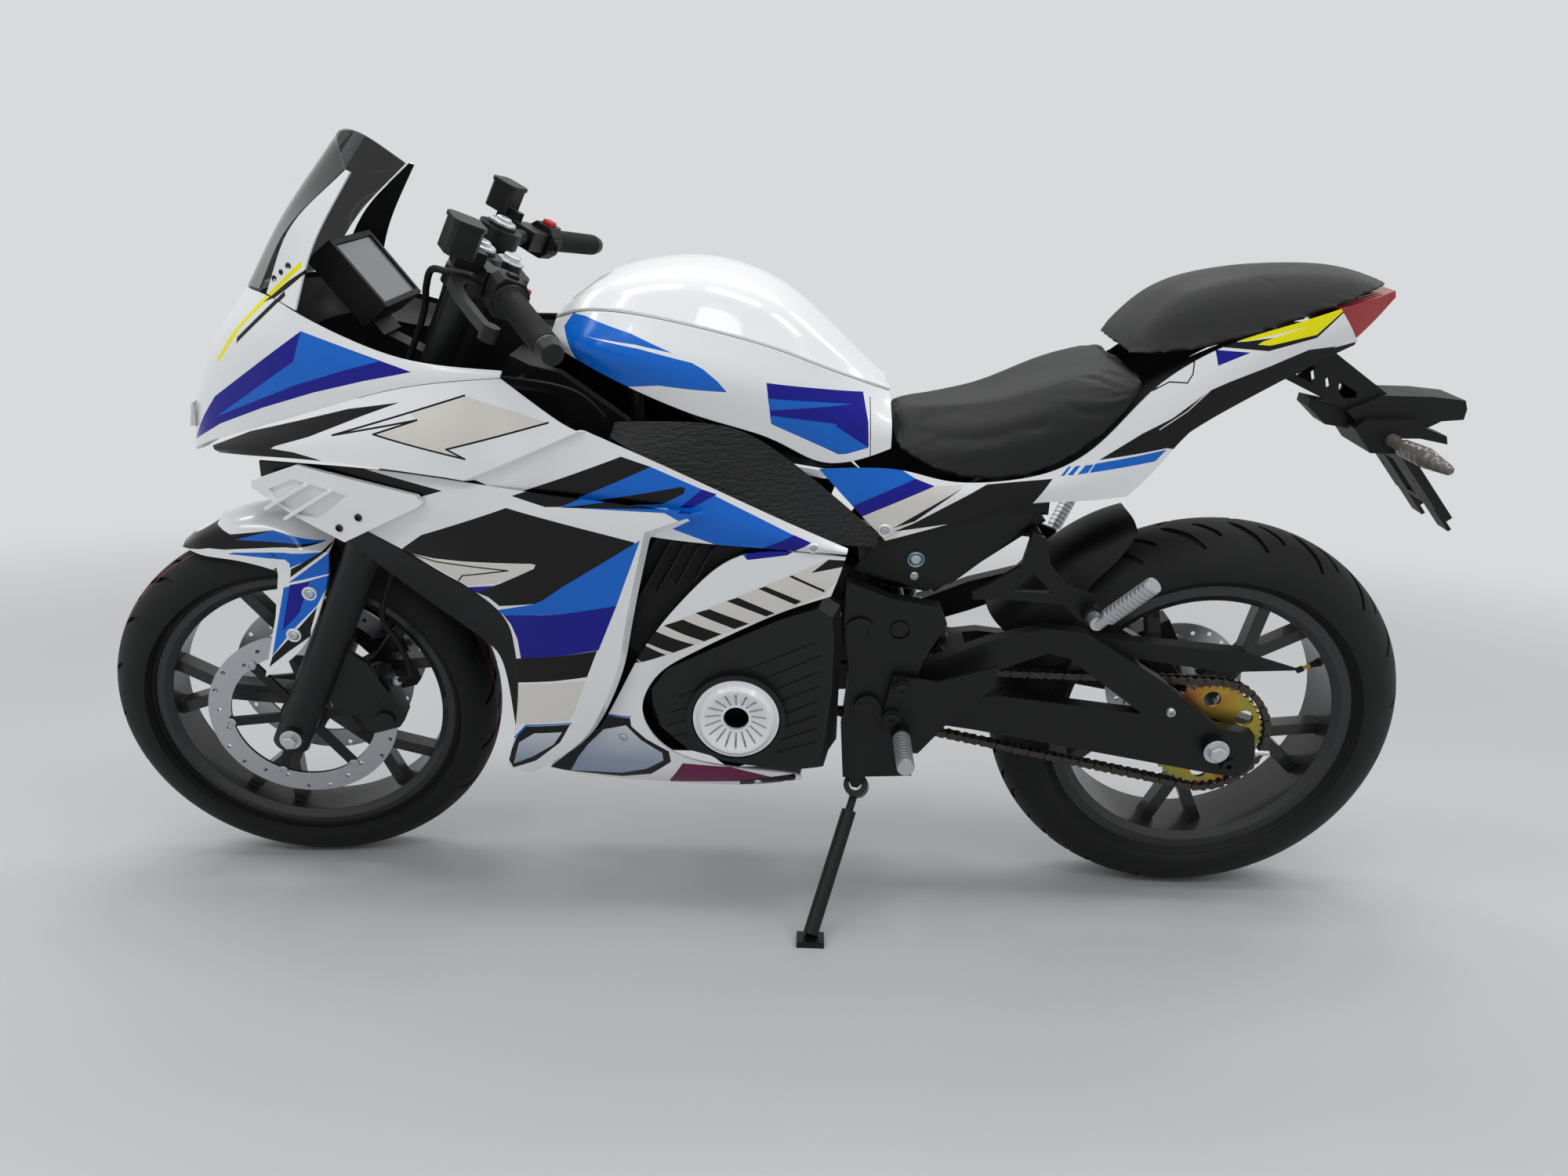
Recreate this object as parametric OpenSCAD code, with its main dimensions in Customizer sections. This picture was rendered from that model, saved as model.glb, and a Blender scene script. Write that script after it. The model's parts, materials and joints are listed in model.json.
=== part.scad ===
// Electric sport motorcycle, parked on its side stand.
// Millimetres. X forward, Y to the rider's left, Z up. Every module draws the upright machine;
// park() leans it on the stand.

/* [Chassis] */
// distance between the wheel axles
wheel_base = 1395; // [1300:1:1480]
// lean of the parked machine to the left
lean = 10.8; // [6:0.1:14]
// steering head angle from the vertical
rake = 25.5; // [22:0.1:28]
// fork legs ahead of the steering axis
fork_offset = 35; // [25:1:45]
// distance between the fork legs
fork_spacing = 200; // [180:1:220]
// angle the bars are left turned to the left
rest_steer = 7; // [0:0.5:20]

/* [Wheels] */
// front tyre outer diameter
front_od = 586; // [570:1:610]
// front tyre width
front_w = 110; // [100:1:120]
// rear tyre outer diameter
rear_od = 628; // [600:1:640]
// rear tyre width
rear_w = 140; // [120:1:160]
// bead seat diameter of both rims
rim_d = 437.4; // [430:0.1:440]
// front brake disc diameter
front_disc_d = 282; // [260:1:300]
// rear brake disc diameter
rear_disc_d = 220; // [200:1:240]
// rear sprocket pitch diameter
sprocket_d = 182; // [150:1:200]
// teeth on the rear sprocket
sprocket_teeth = 44; // [36:1:52]

/* [Fork] */
// slider diameter
slider_d = 54; // [48:1:58]
// stanchion diameter
tube_d = 41; // [37:1:43]
// stanchion top above the front axle, along the leg
tube_top = 795; // [760:1:820]

/* [Body] */
// wall of the body panels
wall = 3; // [2:0.5:4]
// facets along each panel span
span_u = 2; // [1:1:4]
// facets across each panel span
span_v = 4; // [1:1:6]

/* [Hidden] */
$fn = 48;
front_r = front_od/2;
rear_r = rear_od/2;
front_z = front_r - 1.86;
xf = wheel_base/2;
xr = -wheel_base/2;
rim_r = rim_d/2;
chain_y = 86;
drive_x = -60;
drive_z = 383;
pivot = [-178, 0, 381];
stand_pivot = [-170, 134, 234];
stand_foot = [-106, 276];
drop = [64, 139, -182];
fold = [-245, 20, 30];
hinge = cross(drop, fold)/norm(cross(drop, fold));
stand_end = [stand_foot[0], stand_foot[1]*cos(lean) - 4, 62];
stand_top = stand_pivot - hinge*6.7;
stand_root = stand_top + (stand_end - stand_top)*0.17;
axle_r = 8.5;
spindle_r = 10;
fit = 0.06;
stand_fit = 0.25;
shift = [11.3, -170, 1.08];
plate_root = [-880, 0, 778];
plate_tilt = 41;
cap_x = 9;
cap_z = 377;
hose_r = 4.5;
// brake hose of the left leg in the fork's frame, from the master cylinder to the caliper
hose_route = [[-12.5, 165.1, 769.5], [-2, 147, 766], [24, 138, 756], [44, 114, 744], [46, 90, 715], [39, 74, 675],
    [37, 72, 600], [40, 66, 515], [28, 58, 470], [-8, 58, 425], [-36, 78, 370], [-44, 86, 300], [-54, 89, 230],
    [-90, 78, 190], [-121, 67, 142], [-108.5, 64, 116.5]];

// Placing

module park() {
    translate(shift)
    rotate([-lean, 0, 0])
    children();
}

// the fork's own frame: x ahead of the legs, z up along them, origin at the front axle
module fork() {
    translate([xf, 0, front_z])
    rotate([0, -rake, 0])
    translate([-fork_offset, 0, 0])
    rotate([0, 0, rest_steer])
    translate([fork_offset, 0, 0])
    children();
}

module both() {
    children();
    mirror([0, 1, 0]) children();
}

// local z of a wheel points to the left
module at_axle(x, z) {
    translate([x, 0, z])
    rotate([-90, 0, 0])
    children();
}

// a flat shape drawn in x and z, from y = a to y = b
module slab(a, b) {
    translate([0, b, 0])
    rotate([90, 0, 0])
    linear_extrude(b - a)
    children();
}

module rod(p, q, r) {
    d = q - p;
    translate(p)
    rotate([0, acos(d[2]/norm(d)), atan2(d[1], d[0])])
    cylinder(h = norm(d), r = r);
}

// along y from a to b
module pin(x, z, a, b, r) {
    translate([x, a, z])
    rotate([-90, 0, 0])
    cylinder(h = b - a, r = r);
}

// Smooth skins through short rails of points

function at(p, i) = i < 0 ? 2*p[0] - p[1] : i >= len(p) ? 2*p[len(p) - 1] - p[len(p) - 2] : p[i];
function knot(a, b, c, d, t) =
    0.5*(2*b + (c - a)*t + (2*a - 5*b + 4*c - d)*t*t + (3*b - a - 3*c + d)*t*t*t);
function piece(p, a, b) = [for (i = [a:b]) p[i]];
function run(p, k) =
    [for (i = [0:len(p) - 2]) for (j = [0:k - 1]) knot(at(p, i - 1), p[i], p[i + 1], at(p, i + 2), j/k)];
function curve(p, k, sharp = []) = let (b = concat([0], sharp, [len(p) - 1]))
    concat([for (r = [0:len(b) - 2]) each run(piece(p, b[r], b[r + 1]), k)], [p[len(p) - 1]]);
function turned(m) = [for (j = [0:len(m[0]) - 1]) [for (i = [0:len(m) - 1]) m[i][j]]];
function skin(rails, ku, kv, su = [], sv = []) =
    [for (c = turned([for (r = rails) curve(r, ku, su)])) curve(c, kv, sv)];
function unit(v) = v/max(norm(v), 0.000001);
function normal(g, i, j) = let (n = len(g) - 1, m = len(g[0]) - 1)
    unit(cross(g[i][min(j + 1, m)] - g[i][max(j - 1, 0)], g[min(i + 1, n)][j] - g[max(i - 1, 0)][j]));
function moved(rail, v) = [for (p = rail) p + v];
function between(a, b, t, v) = [for (i = [0:len(a) - 1]) a[i] + (b[i] - a[i])*t + v];
function mirrored(rail) = [for (p = rail) [p[0], -p[1], p[2]]];
function wide(half) = concat([for (i = [len(half) - 1:-1:1]) [half[i][0], -half[i][1], half[i][2]]], half);

// a panel of even wall; rails run from the top down, their points from the front back
module panel(g, t) {
    n = len(g);
    m = len(g[0]);
    k = n*m;
    outer = [for (i = [0:n - 1]) for (j = [0:m - 1]) g[i][j]];
    inner = [for (i = [0:n - 1]) for (j = [0:m - 1]) g[i][j] - t*normal(g, i, j)];
    faces = concat(
        [for (i = [0:n - 2]) for (j = [0:m - 2]) each let (a = i*m + j, b = a + m)
            [[a, b, b + 1], [a, b + 1, a + 1], [k + a, k + b + 1, k + b], [k + a, k + a + 1, k + b + 1]]],
        [for (i = [0:n - 2]) each let (a = i*m, b = a + m, c = a + m - 1, d = b + m - 1)
            [[b, a, k + a], [b, k + a, k + b], [c, d, k + d], [c, k + d, k + c]]],
        [for (j = [0:m - 2]) each let (a = j, b = j + 1, c = (n - 1)*m + j, d = c + 1)
            [[a, b, k + b], [a, k + b, k + a], [d, c, k + c], [d, k + c, k + d]]]);
    polyhedron(concat(outer, inner), faces, convexity = 8);
}

// a closed body; rails of the left half from the top centre line down to the bottom centre line
module body(g) {
    n = len(g);
    m = len(g[0]);
    w = 2*m - 2;
    rings = [for (i = [0:n - 1]) concat(g[i],
        [for (j = [m - 2:-1:1]) [g[i][j][0], -g[i][j][1], g[i][j][2]]])];
    points = concat([for (r = rings) each r],
        [(g[0][0] + g[0][m - 1])/2, (g[n - 1][0] + g[n - 1][m - 1])/2]);
    faces = concat(
        [for (i = [0:n - 2]) for (j = [0:w - 1]) each
            let (a = i*w + j, d = i*w + (j + 1)%w, b = a + w, c = d + w) [[a, b, c], [a, c, d]]],
        [for (j = [0:w - 1]) [n*w, j, (j + 1)%w]],
        [for (j = [0:w - 1]) [n*w + 1, (n - 1)*w + (j + 1)%w, (n - 1)*w + j]]);
    polyhedron(points, faces, convexity = 6);
}

// Chassis

// the cast frame: steering head, two spars, and the stay that carries the dash and nose
module main_frame() {
    color("#2b2c2e")
    park()
    difference() {
        union() {
            translate([xf, 0, front_z])
            rotate([0, -rake, 0])
            translate([-fork_offset, 0, 0]) {
                translate([0, 0, 536]) cylinder(h = 194, r = 30);
                translate([-70, -26, 560]) cube([70, 52, 145]);
                translate([-112, -115, 590]) cube([50, 230, 95]);
                translate([20, -18, 575]) cube([118, 36, 30]);
            }
            slab(-115, -95) spar_outline();
            slab(95, 115) spar_outline();
            translate([523, 0, 957]) rotate([0, -52, 0]) translate([-75, -34, -50]) cube([65, 68, 11.6]);
            both() {
                pin(-150, 532, 110, 127.6, 14);
                pin(240, 775, 110, 225.5, 7);
                pin(298, 838, 110, 174.7, 6);
                rod([150, 105, 760], [150, 105, 833.4], 9);
            }
        }
        translate([xf, 0, front_z])
        rotate([0, -rake, 0])
        translate([-fork_offset, 0, 520]) cylinder(h = 240, r = 16 + fit);
    }
}

module spar_outline() {
    polygon([[338, 792], [300, 858], [250, 846], [-95, 602], [-172, 562], [-172, 505], [-110, 515], [262, 766]]);
}

// plates that hold the swingarm, with the pivot shaft and the stand's lug
module pivot_plates() {
    color("#232426")
    park()
    union() {
        both()
        difference() {
            slab(128, 150)
            polygon([[-140, 574], [-207, 549], [-272, 539], [-284, 513], [-255, 457], [-240, 399],
                [-246, 330], [-250, 264], [-148, 258], [-142, 340], [-150, 430], [-139, 507]]);
            pin(-218, 503, 146, 152, 15);
        }
        both() pin(pivot[0], pivot[2], 149, 158, 19);
        pin(pivot[0], pivot[2], -150, 150, 10);
        pin(-215, 525, -130, 130, 13);
        both() pin(-218, 503, 140, 149, 12);
        rod([-172, 139, 280], stand_pivot + hinge*12.5, 11);
        rod(stand_pivot + hinge*0.4, stand_pivot + hinge*16, 18);
        rod(stand_pivot + hinge*2, stand_pivot - hinge*14, 6);
        rod(stand_pivot - hinge*13.2, stand_pivot - hinge*19, 11);
    }
}

module subframe() {
    color("#1f2022")
    park()
    union() {
        both() {
            rod([-262, 92, 550], [-409, 92, 662], 13);
            rod([-178, 80, 555], [-409, 92, 674], 13);
            rod([-262, 92, 550], [-178, 80, 556], 11);
            pin(-262, 560, 88, 112.1, 8);
            pin(-330, 610, 92, 112.1, 8);
            pin(-398, 640, 92, 131.6, 9);
        }
        translate([-418, -100, 662]) cube([22, 200, 30]);
        translate([-190, -94.6, 541]) cube([28, 189.2, 24]);
    }
}

module battery_block() {
    color("#37393c")
    park()
    union() {
        slab(-94.6, 94.6)
        polygon([[325, 690], [325, 300], [290, 262], [62.4, 262], [62.4, 560], [-90, 560], [-62, 610], [20, 660],
            [250, 742]]);
        both() {
            pin(250, 600, 90, 230.9, 7);
            pin(200, 285, 90, 161.1, 7);
            pin(60, 620, 90, 175.6, 7);
            pin(316, 405, 90, 176.8, 5);
        }
    }
}

module motor_block() {
    color("#3a3c3f")
    park()
    union() {
        slab(-149.6, 68)
        polygon([[62, 300], [62, 520], [20, 552], [-58, 540], [-118, 470], [-118, 300], [-90, 266], [20, 266]]);
        slab(60, 149.6)
        polygon([[62, 300], [62, 520], [20, 540], [-5, 540], [-5, 275], [20, 266]]);
        pin(drive_x, drive_z, 60, chain_y + 8, 10);
        pin(drive_x, drive_z, chain_y - 4, chain_y + 4, drive_r - 6.2);
        pin(-92, 305, 40, 149.6, 12);
        pin(-92, 486, 40, 149.6, 12);
        slab(99, 126) polygon([[-84, 296], [-126, 290], [-137, 310], [-137, 488], [-126, 499], [-84, 499]]);
    }
}

function cover_outline() = [[140, 416], [116, 452], [72, 472], [18, 503], [-56, 540], [-110, 559], [-132, 545],
    [-136, 507], [-136, 420], [-128, 330], [-118, 286], [-72, 279], [-3, 287], [84, 311], [122, 346],
    [138, 388]];

// pressed side covers of the motor, with slanted ribs and a raised ring
cover_ribs = [[[90, 404], [-98, 494]], [[-21, 431], [-108, 475]], [[-42, 417], [-107, 450]],
    [[-56, 402], [-107, 427]], [[-62, 382], [-106, 403]], [[-63, 361], [-106, 380]], [[-58, 339], [-107, 359]],
    [[-48, 317], [-107, 338]], [[105, 377], [80, 387]], [[109, 356], [84, 365]], [[98, 339], [82, 344]]];

module motor_covers() {
    color("#e8e9ea")
    park()
    both() {
        difference() {
            union() {
                hull() {
                    slab(150, 166) polygon(cover_outline());
                    slab(168, 186)
                    translate([2, 412]) scale(0.92) translate([-2, -412])
                    polygon(cover_outline());
                }
                pin(cap_x, cap_z, 180, 197, 70);
                for (r = cover_ribs)
                    slab(184, 188) bar2(r[0], r[1], 3.4);
            }
            pin(cap_x, cap_z, 188, 200, 63);
            pin(cap_x, cap_z, 149, 190, 22);
        }
    }
}

// white caps: a dished ring of fins around the motor's air hole
module motor_caps() {
    color("#f2f2f0")
    park()
    both()
    translate([cap_x, 0, cap_z])
    rotate([-90, 0, 0])
    difference() {
        rotate_extrude()
        polygon([[18, 188.4], [61, 188.4], [61, 196], [56, 196], [55, 201], [50, 206], [46, 206], [24, 194],
            [18, 194]]);
        for (k = [0:17])
            rotate(k*20 + 10)
            translate([22, -1.5, 190]) cube([22, 3, 20]);
    }
}

// Nose

seam = [[803, 0, 700], [789, 58, 711], [746, 105, 735], [664, 136, 764], [562, 170, 799], [432, 202, 842],
    [301, 222, 861]];
rim = [[690, 0, 936], [682, 45, 938], [656, 92, 941], [608, 133, 936], [556, 160, 914], [430, 195, 874],
    [299, 217, 869]];
nose_mid = [[750, 0, 858], [740, 50, 862], [712, 93, 870], [648, 132, 884], [566, 165, 872], [434, 199, 863],
    [300, 220, 866]];
nose_low = [[788, 0, 775], [775, 52, 782], [742, 96, 796], [662, 134, 815], [566, 168, 832], [434, 201, 851],
    [301, 221.5, 863]];

module upper_cowl() {
    color("#f4f5f6")
    park() {
        panel(skin([wide(rim), wide(nose_mid), wide(nose_low), wide(seam)], span_u, span_v), wall);
        both()
        panel(skin([[[500, 119, 1092], [494, 122, 1090]], [[576, 126, 1024], [546, 138, 1004]],
            [[622, 120.5, 940], [575, 150, 924.6]]], 2, 4), wall);
    }
}

module windscreen() {
    color("#26292c", 0.7)
    park()
    panel(skin([wide([[540, 0, 1137], [533, 55, 1127], [504, 113, 1092]]),
        wide([[625, 0, 1035], [616, 56, 1031], [584, 119, 1021]]),
        wide([[689.5, 0, 937.2], [681, 46, 939.6], [636, 110, 943.6]])], 4, 5), wall);
}

module headlamps() {
    color("#dfe6ea")
    park()
    both()
    translate([2.6, 1, 0])
    panel(skin([[[793, 14, 772], [783, 52, 776], [762, 82, 784]],
        [[800, 14, 738], [790, 54, 744], [764, 84, 752]]], 2, 2), 2);
}

// one moulding that lines the nose from one bar end round the dash to the other
trim_out = [[676, 0, 928], [668, 44, 930], [643, 86, 932], [600, 124, 927], [556, 146, 905], [430, 184, 866],
    [300, 205, 858], [215, 190, 842], [178, 186, 805]];
trim_in = [[606, 0, 884], [602, 44, 884], [584, 74, 884], [548, 84, 874], [505, 110, 860], [430, 158, 846],
    [300, 176, 838], [222, 172, 826], [186, 178, 798]];

module cockpit_trim() {
    color("#1c1d1f")
    park()
    panel(skin([wide(trim_out), between(wide(trim_out), wide(trim_in), 0.45, [0, 0, -5]), wide(trim_in)], span_u, 2),
        wall);
}

module dash_housing() {
    color("#18191b")
    park()
    translate([523, 0, 957])
    rotate([0, -52, 0])
    difference() {
        translate([-54, -72, -38]) cube([108, 144, 44]);
        translate([-46, -64, -2]) cube([92, 128, 20]);
    }
}

module dash_display() {
    color("#2f4a58")
    park()
    translate([523, 0, 957])
    rotate([0, -52, 0])
    translate([-45.5, -63.5, -1.6]) cube([91, 127, 4]);
}

// Side fairing

side_top = [[732, 113, 736], [664, 137, 763.5], [562, 171, 798.5], [432, 203, 841.5], [300, 223, 860.5],
    [236, 231, 815], [206, 235, 799], [198, 224, 797], [120, 222, 763], [48, 214, 728], [-53, 202, 678],
    [-138, 190, 638]];
side_low = [[722, 116, 724], [655, 160, 734], [560, 197, 742], [450, 226, 741], [405, 233, 738],
    [375, 237, 736], [352, 239, 733], [340, 228, 731], [245, 230, 692], [124, 226, 660], [0, 208, 643],
    [-136, 190, 629]];

module upper_sides() {
    color("#f4f5f6")
    park()
    both()
    panel(skin([side_top, between(side_top, side_low, 0.5, [0, 6, 0]), side_low], span_u, span_v, [4, 6, 7]), wall);
}

// front edge, blade edge and swell of the lower front panel, row by row from the crease down
flank = [[[650, 156, 726], [54, 247, 700], 24, 16], [[655, 148, 700], [124, 246, 673], 26, 8],
    [[479, 195, 634], [145, 240, 583], 10, 2], [[334, 212, 553], [158, 234, 520], 4, 0],
    [[313, 208, 490], [168, 228, 470], 4, 0], [[314, 200, 416], [192, 215, 404], 4, 0],
    [[330, 188, 328], [233, 196, 328], 3, 0], [[350, 165, 268], [312, 166, 258], 1, 0]];
flank_rails = [for (r = flank) [r[0], r[0] + (r[1] - r[0])/3 + [0, r[2], r[3]],
    r[0] + (r[1] - r[0])*2/3 + [0, r[2], r[3]*0.6], r[1], r[1] + [-7, -17, -3]]];

module front_sides() {
    color("#2d62b0")
    park()
    both()
    panel(skin(flank_rails, 3, 2, [3], [1]), wall);
}

band_in = [[-118, 190, 568], [-55, 194, 546], [19, 197, 509], [74, 198, 478], [118, 197, 447], [144, 194, 392],
    [126, 188, 338], [88, 180, 303], [40, 175, 288], [-3, 171, 280], [-72, 164, 271], [-88, 160, 262]];
band_out = [[-136, 188, 624], [-4, 204, 636], [68, 210, 580], [120, 208, 514], [148, 202, 466], [178, 190, 402],
    [219, 171, 326], [290, 146, 258], [210, 146, 244], [116, 147, 239], [-14, 147, 237], [-84, 150, 252]];
band_tuck = [for (i = [0:11]) band_out[i] + (i < 6 ? [0, -20, -6] : i < 7 ? [-6, -30, -4] : [-6, -50, -2])];

module lower_sides() {
    color("#f4f5f6")
    park()
    both()
    panel(skin([band_in, between(band_in, band_out, 0.5, [0, 4, 0]), band_out, band_tuck], span_u, 3, [], [2]),
        wall);
}

module side_vents() {
    color("#17181a")
    park()
    both() {
        slab(176, 179)
        polygon([[150, 672], [60, 676], [-20, 645], [60, 572], [112, 505], [140, 462], [160, 480]]);
        for (k = [0:4])
            slab(178.5, 196)
            translate([112 - k*18, 648 - k*4])
            rotate(-62)
            square([120 - k*17, 3.2]);
    }
}

module inner_cowls() {
    color("#1b1c1e")
    park()
    both()
    panel(skin([[[640, 140, 694], [476, 188, 627], [405, 198, 586], [331, 206, 547], [309, 201, 496],
        [311, 193, 416], [327, 180, 332]], [[548, 146, 609], [470, 156, 551], [420, 160, 514], [372, 162, 477],
        [347, 163, 452], [338, 163, 405], [334, 163, 352]]], span_u, 3), wall);
}

// raised white wing on each flank, with a scooped slot and two fins across it
module winglets() {
    color("#f4f5f6")
    park()
    both()
    translate([520, 198, 690])
    rotate([0, 0, -13])
    union() {
        difference() {
            slab(0, 9)
            polygon([[136, 15], [66, 42], [-107, 18], [-114, 8], [-109, 3], [7, -58], [76, -30], [138, 5]]);
            slab(3, 11)
            polygon([[112, 5], [104, 9], [72, 23], [-5, 8], [43, -29], [78, -25], [100, -12]]);
        }
        slab(1, 17) bar2([50, 19], [117, -21], 5);
        slab(1, 17) bar2([13, 15], [89, -32], 5);
    }
}

// Tank and seats

groove = [[262, 62, 908], [215, 116, 927], [150, 141, 929], [60, 149, 914], [-30, 138, 890], [-95, 114, 862],
    [-150, 84, 838], [-192, 50, 818]];
tank_side = [[264, 90, 890], [216, 148, 890], [150, 165, 880], [60, 168, 860], [-30, 153, 838], [-95, 130, 805],
    [-150, 114, 790], [-194, 96, 784]];
tank_low = [[262, 84, 876], [215, 148, 868], [150, 160, 838], [60, 163, 803], [-30, 146, 775], [-95, 124, 735],
    [-150, 116, 738], [-194, 104, 752]];
function centred(rail, dz) = [for (p = rail) [p[0], 0, p[2] + dz]];

module tank_body() {
    color("#eef0f1")
    park()
    body(skin([centred(groove, 0), groove, tank_side, tank_low, centred(tank_low, 0)], span_u, 4, [], [1, 3]));
}

module tank_cover() {
    color("#f6f7f8")
    park()
    body(skin([[[258, 0, 926], [212, 0, 956], [150, 0, 978], [60, 0, 986], [-30, 0, 962], [-95, 0, 915],
        [-150, 0, 864], [-190, 0, 828]],
        [[258, 44, 922], [212, 78, 952], [150, 98, 970], [60, 104, 974], [-30, 94, 947], [-95, 76, 901],
        [-150, 56, 855], [-190, 32, 824]],
        moved(groove, [0, -2, 4]), moved(groove, [0, -3, 0.7]), centred(groove, 0.7)], span_u, 3, [], [2, 3]));
}

module knee_panels() {
    color("#1d1e20")
    park()
    both()
    panel(skin([[[168, 180.3, 799], [83, 172.3, 800], [3, 156.3, 786], [-70, 136.3, 732], [-130, 131, 682],
        [-184, 131, 636]],
        [[170, 208, 786], [116, 206, 752], [48, 199, 718], [-53, 186, 668], [-120, 168, 636], [-178, 141, 622]]],
        span_u, 4), wall);
}

module rider_seat() {
    color("#27282b")
    park()
    body(skin([[[-200, 0, 794], [-250, 0, 797], [-330, 0, 812], [-420, 0, 846], [-490, 0, 868], [-520, 0, 874]],
        [[-200, 50, 790], [-250, 80, 792], [-330, 106, 804], [-420, 118, 838], [-490, 121, 860], [-520, 118, 866]],
        [[-200, 92, 752], [-250, 112, 725], [-330, 124, 714], [-420, 130, 741], [-490, 131, 805],
        [-520, 122, 844]],
        [[-200, 0, 752], [-250, 0, 728], [-330, 0, 718], [-420, 0, 745], [-490, 0, 807], [-520, 0, 844]]],
        span_u, 4, [], [2]));
}

module pillion_seat() {
    color("#27282b")
    park()
    body(skin([[[-500, 0, 910], [-540, 0, 956], [-600, 0, 986], [-700, 0, 1001], [-780, 0, 1002], [-838, 0, 988]],
        [[-500, 70, 902], [-540, 74, 944], [-600, 74, 972], [-700, 66, 988], [-780, 56, 992], [-838, 44, 984]],
        [[-498, 98, 884], [-540, 106, 889], [-600, 112.5, 899], [-700, 101.5, 930], [-780, 86, 958], [-838, 62, 978]],
        [[-498, 0, 884], [-540, 0, 889], [-600, 0, 899], [-700, 0, 930], [-780, 0, 958], [-838, 0, 978]]],
        span_u, 4, [], [2]));
}

tail_top = [[-97, 122, 726], [-205, 122, 730], [-280, 126, 712], [-397, 132, 728], [-468, 134, 774],
    [-528, 130, 850], [-612, 116, 903], [-700, 106, 931], [-762, 99, 951]];
tail_low = [[-192, 127, 627], [-280, 130, 656], [-340, 131, 678], [-405, 132, 692], [-513, 131, 702],
    [-569, 127, 774], [-631, 116, 834], [-712, 101, 884], [-797, 86, 909]];

module tail_sides() {
    color("#f4f5f6")
    park()
    both()
    panel(skin([tail_top, between(tail_top, tail_low, 0.5, [0, 4, 0]), tail_low], span_u, 3), wall);
}

module undertail() {
    color("#1b1c1e")
    park()
    body(skin([[[-418.5, 0, 712], [-505, 0, 730], [-575, 0, 806], [-670, 0, 864], [-762, 0, 905], [-806, 0, 908]],
        [[-418.5, 108, 712], [-505, 112, 730], [-575, 106, 806], [-670, 92, 864], [-762, 78, 905], [-806, 66, 908]],
        [[-418.5, 104, 684], [-505, 108, 694], [-575, 102, 772], [-670, 88, 831], [-762, 72, 880],
        [-806, 62, 900]],
        [[-418.5, 0, 684], [-505, 0, 694], [-575, 0, 772], [-670, 0, 831], [-762, 0, 880], [-806, 0, 900]]],
        span_u, 2, [], [1, 2]));
}

module tail_lamp() {
    color("#c81e28")
    park()
    body(skin([[[-763.6, 0, 951.5], [-797, 0, 960.5], [-843, 0, 973]],
        [[-763.6, 86, 949.5], [-797, 81, 958.5], [-843, 64, 972]],
        [[-765.6, 86, 931], [-797, 81, 912], [-845, 64, 964]],
        [[-765.6, 0, 931], [-797, 0, 912], [-845, 0, 964]]], 2, 2, [], [1, 2]));
}

module plate_frame() {
    translate(plate_root)
    rotate([0, plate_tilt, 0])
    children();
}

// pressed arm with windows, plate lamp, and a forked carrier with two bolt holes for the plate
module plate_bracket() {
    color("#1a1b1d")
    park()
    difference() {
        union() {
            both()
            difference() {
                slab(22, 27)
                polygon([[-730, 862.9], [-762, 879.6], [-787, 891.4], [-880, 828], [-895, 817], [-860, 804],
                    [-834, 802], [-736, 846]]);
                slab(20, 29) polygon([[-771, 864], [-778, 861], [-780, 845], [-776, 840], [-750, 851]]);
                slab(20, 29) polygon([[-797, 850], [-802, 836], [-797, 833], [-793, 846]]);
                slab(20, 29) polygon([[-813, 840], [-817, 842], [-842, 828], [-841, 821], [-823, 820], [-815, 829]]);
            }
            slab(-23, 23) polygon([[-787, 891.4], [-786, 886], [-884, 818], [-892, 822]]);
            slab(-20, 20) polygon([[-781, 817], [-812, 811], [-850, 801], [-853, 775], [-809, 781], [-780, 806]]);
            slab(-34, 34)
            polygon([[-828, 805], [-875, 827], [-942, 827], [-988, 823], [-993, 811], [-992, 796], [-962, 793],
                [-945, 783], [-925, 790], [-850, 784]]);
            slab(-46, 46)
            polygon([[-838, 783], [-852, 795], [-919, 797], [-948, 779], [-947, 771], [-902, 770], [-906, 748],
                [-868, 748]]);
            slab(-18, 18) polygon([[-940, 782], [-984, 768], [-988, 756], [-944, 764]]);
            plate_frame() {
                translate([-4, -58, -140]) cube([5, 116, 110]);
                for (s = [-1, 1]) {
                    translate([-4, s*37 - 15, -185]) cube([5, 30, 60]);
                    translate([-13.3, s*37 - 15, -185]) cube([12, 4, 95]);
                    translate([-13.3, s*37 + 11, -170]) cube([12, 4, 120]);
                }
            }
        }
        plate_frame()
        for (s = [-1, 1])
            translate([-6, s*45, -90])
            rotate([0, 90, 0]) cylinder(h = 12, r = 3);
        plate_frame() translate([-6, -14, -130]) cube([12, 28, 70]);
    }
}

module rear_indicators() {
    color("#d8c8a8")
    park()
    both()
    union() {
        pin(-893, 768, 46.4, 56, 9);
        rod([-893, 50, 768], [-897, 78, 764], 8);
        hull() {
            translate([-897, 76, 764]) sphere(r = 12, $fn = 12);
            translate([-908, 112, 762]) sphere(r = 14, $fn = 12);
            translate([-922, 148, 756]) sphere(r = 7, $fn = 8);
        }
    }
}

module side_plates() {
    color("#1c1d1f")
    park()
    both()
    union() {
        slab(112.5, 117)
        polygon([[-150, 579], [-196, 640], [-300, 684], [-395, 712], [-410, 686], [-367, 630], [-291, 563],
            [-250, 549], [-215, 562]]);
        pin(-260, 658, 116, 126.1, 6);
    }
}

// Rear end

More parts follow.
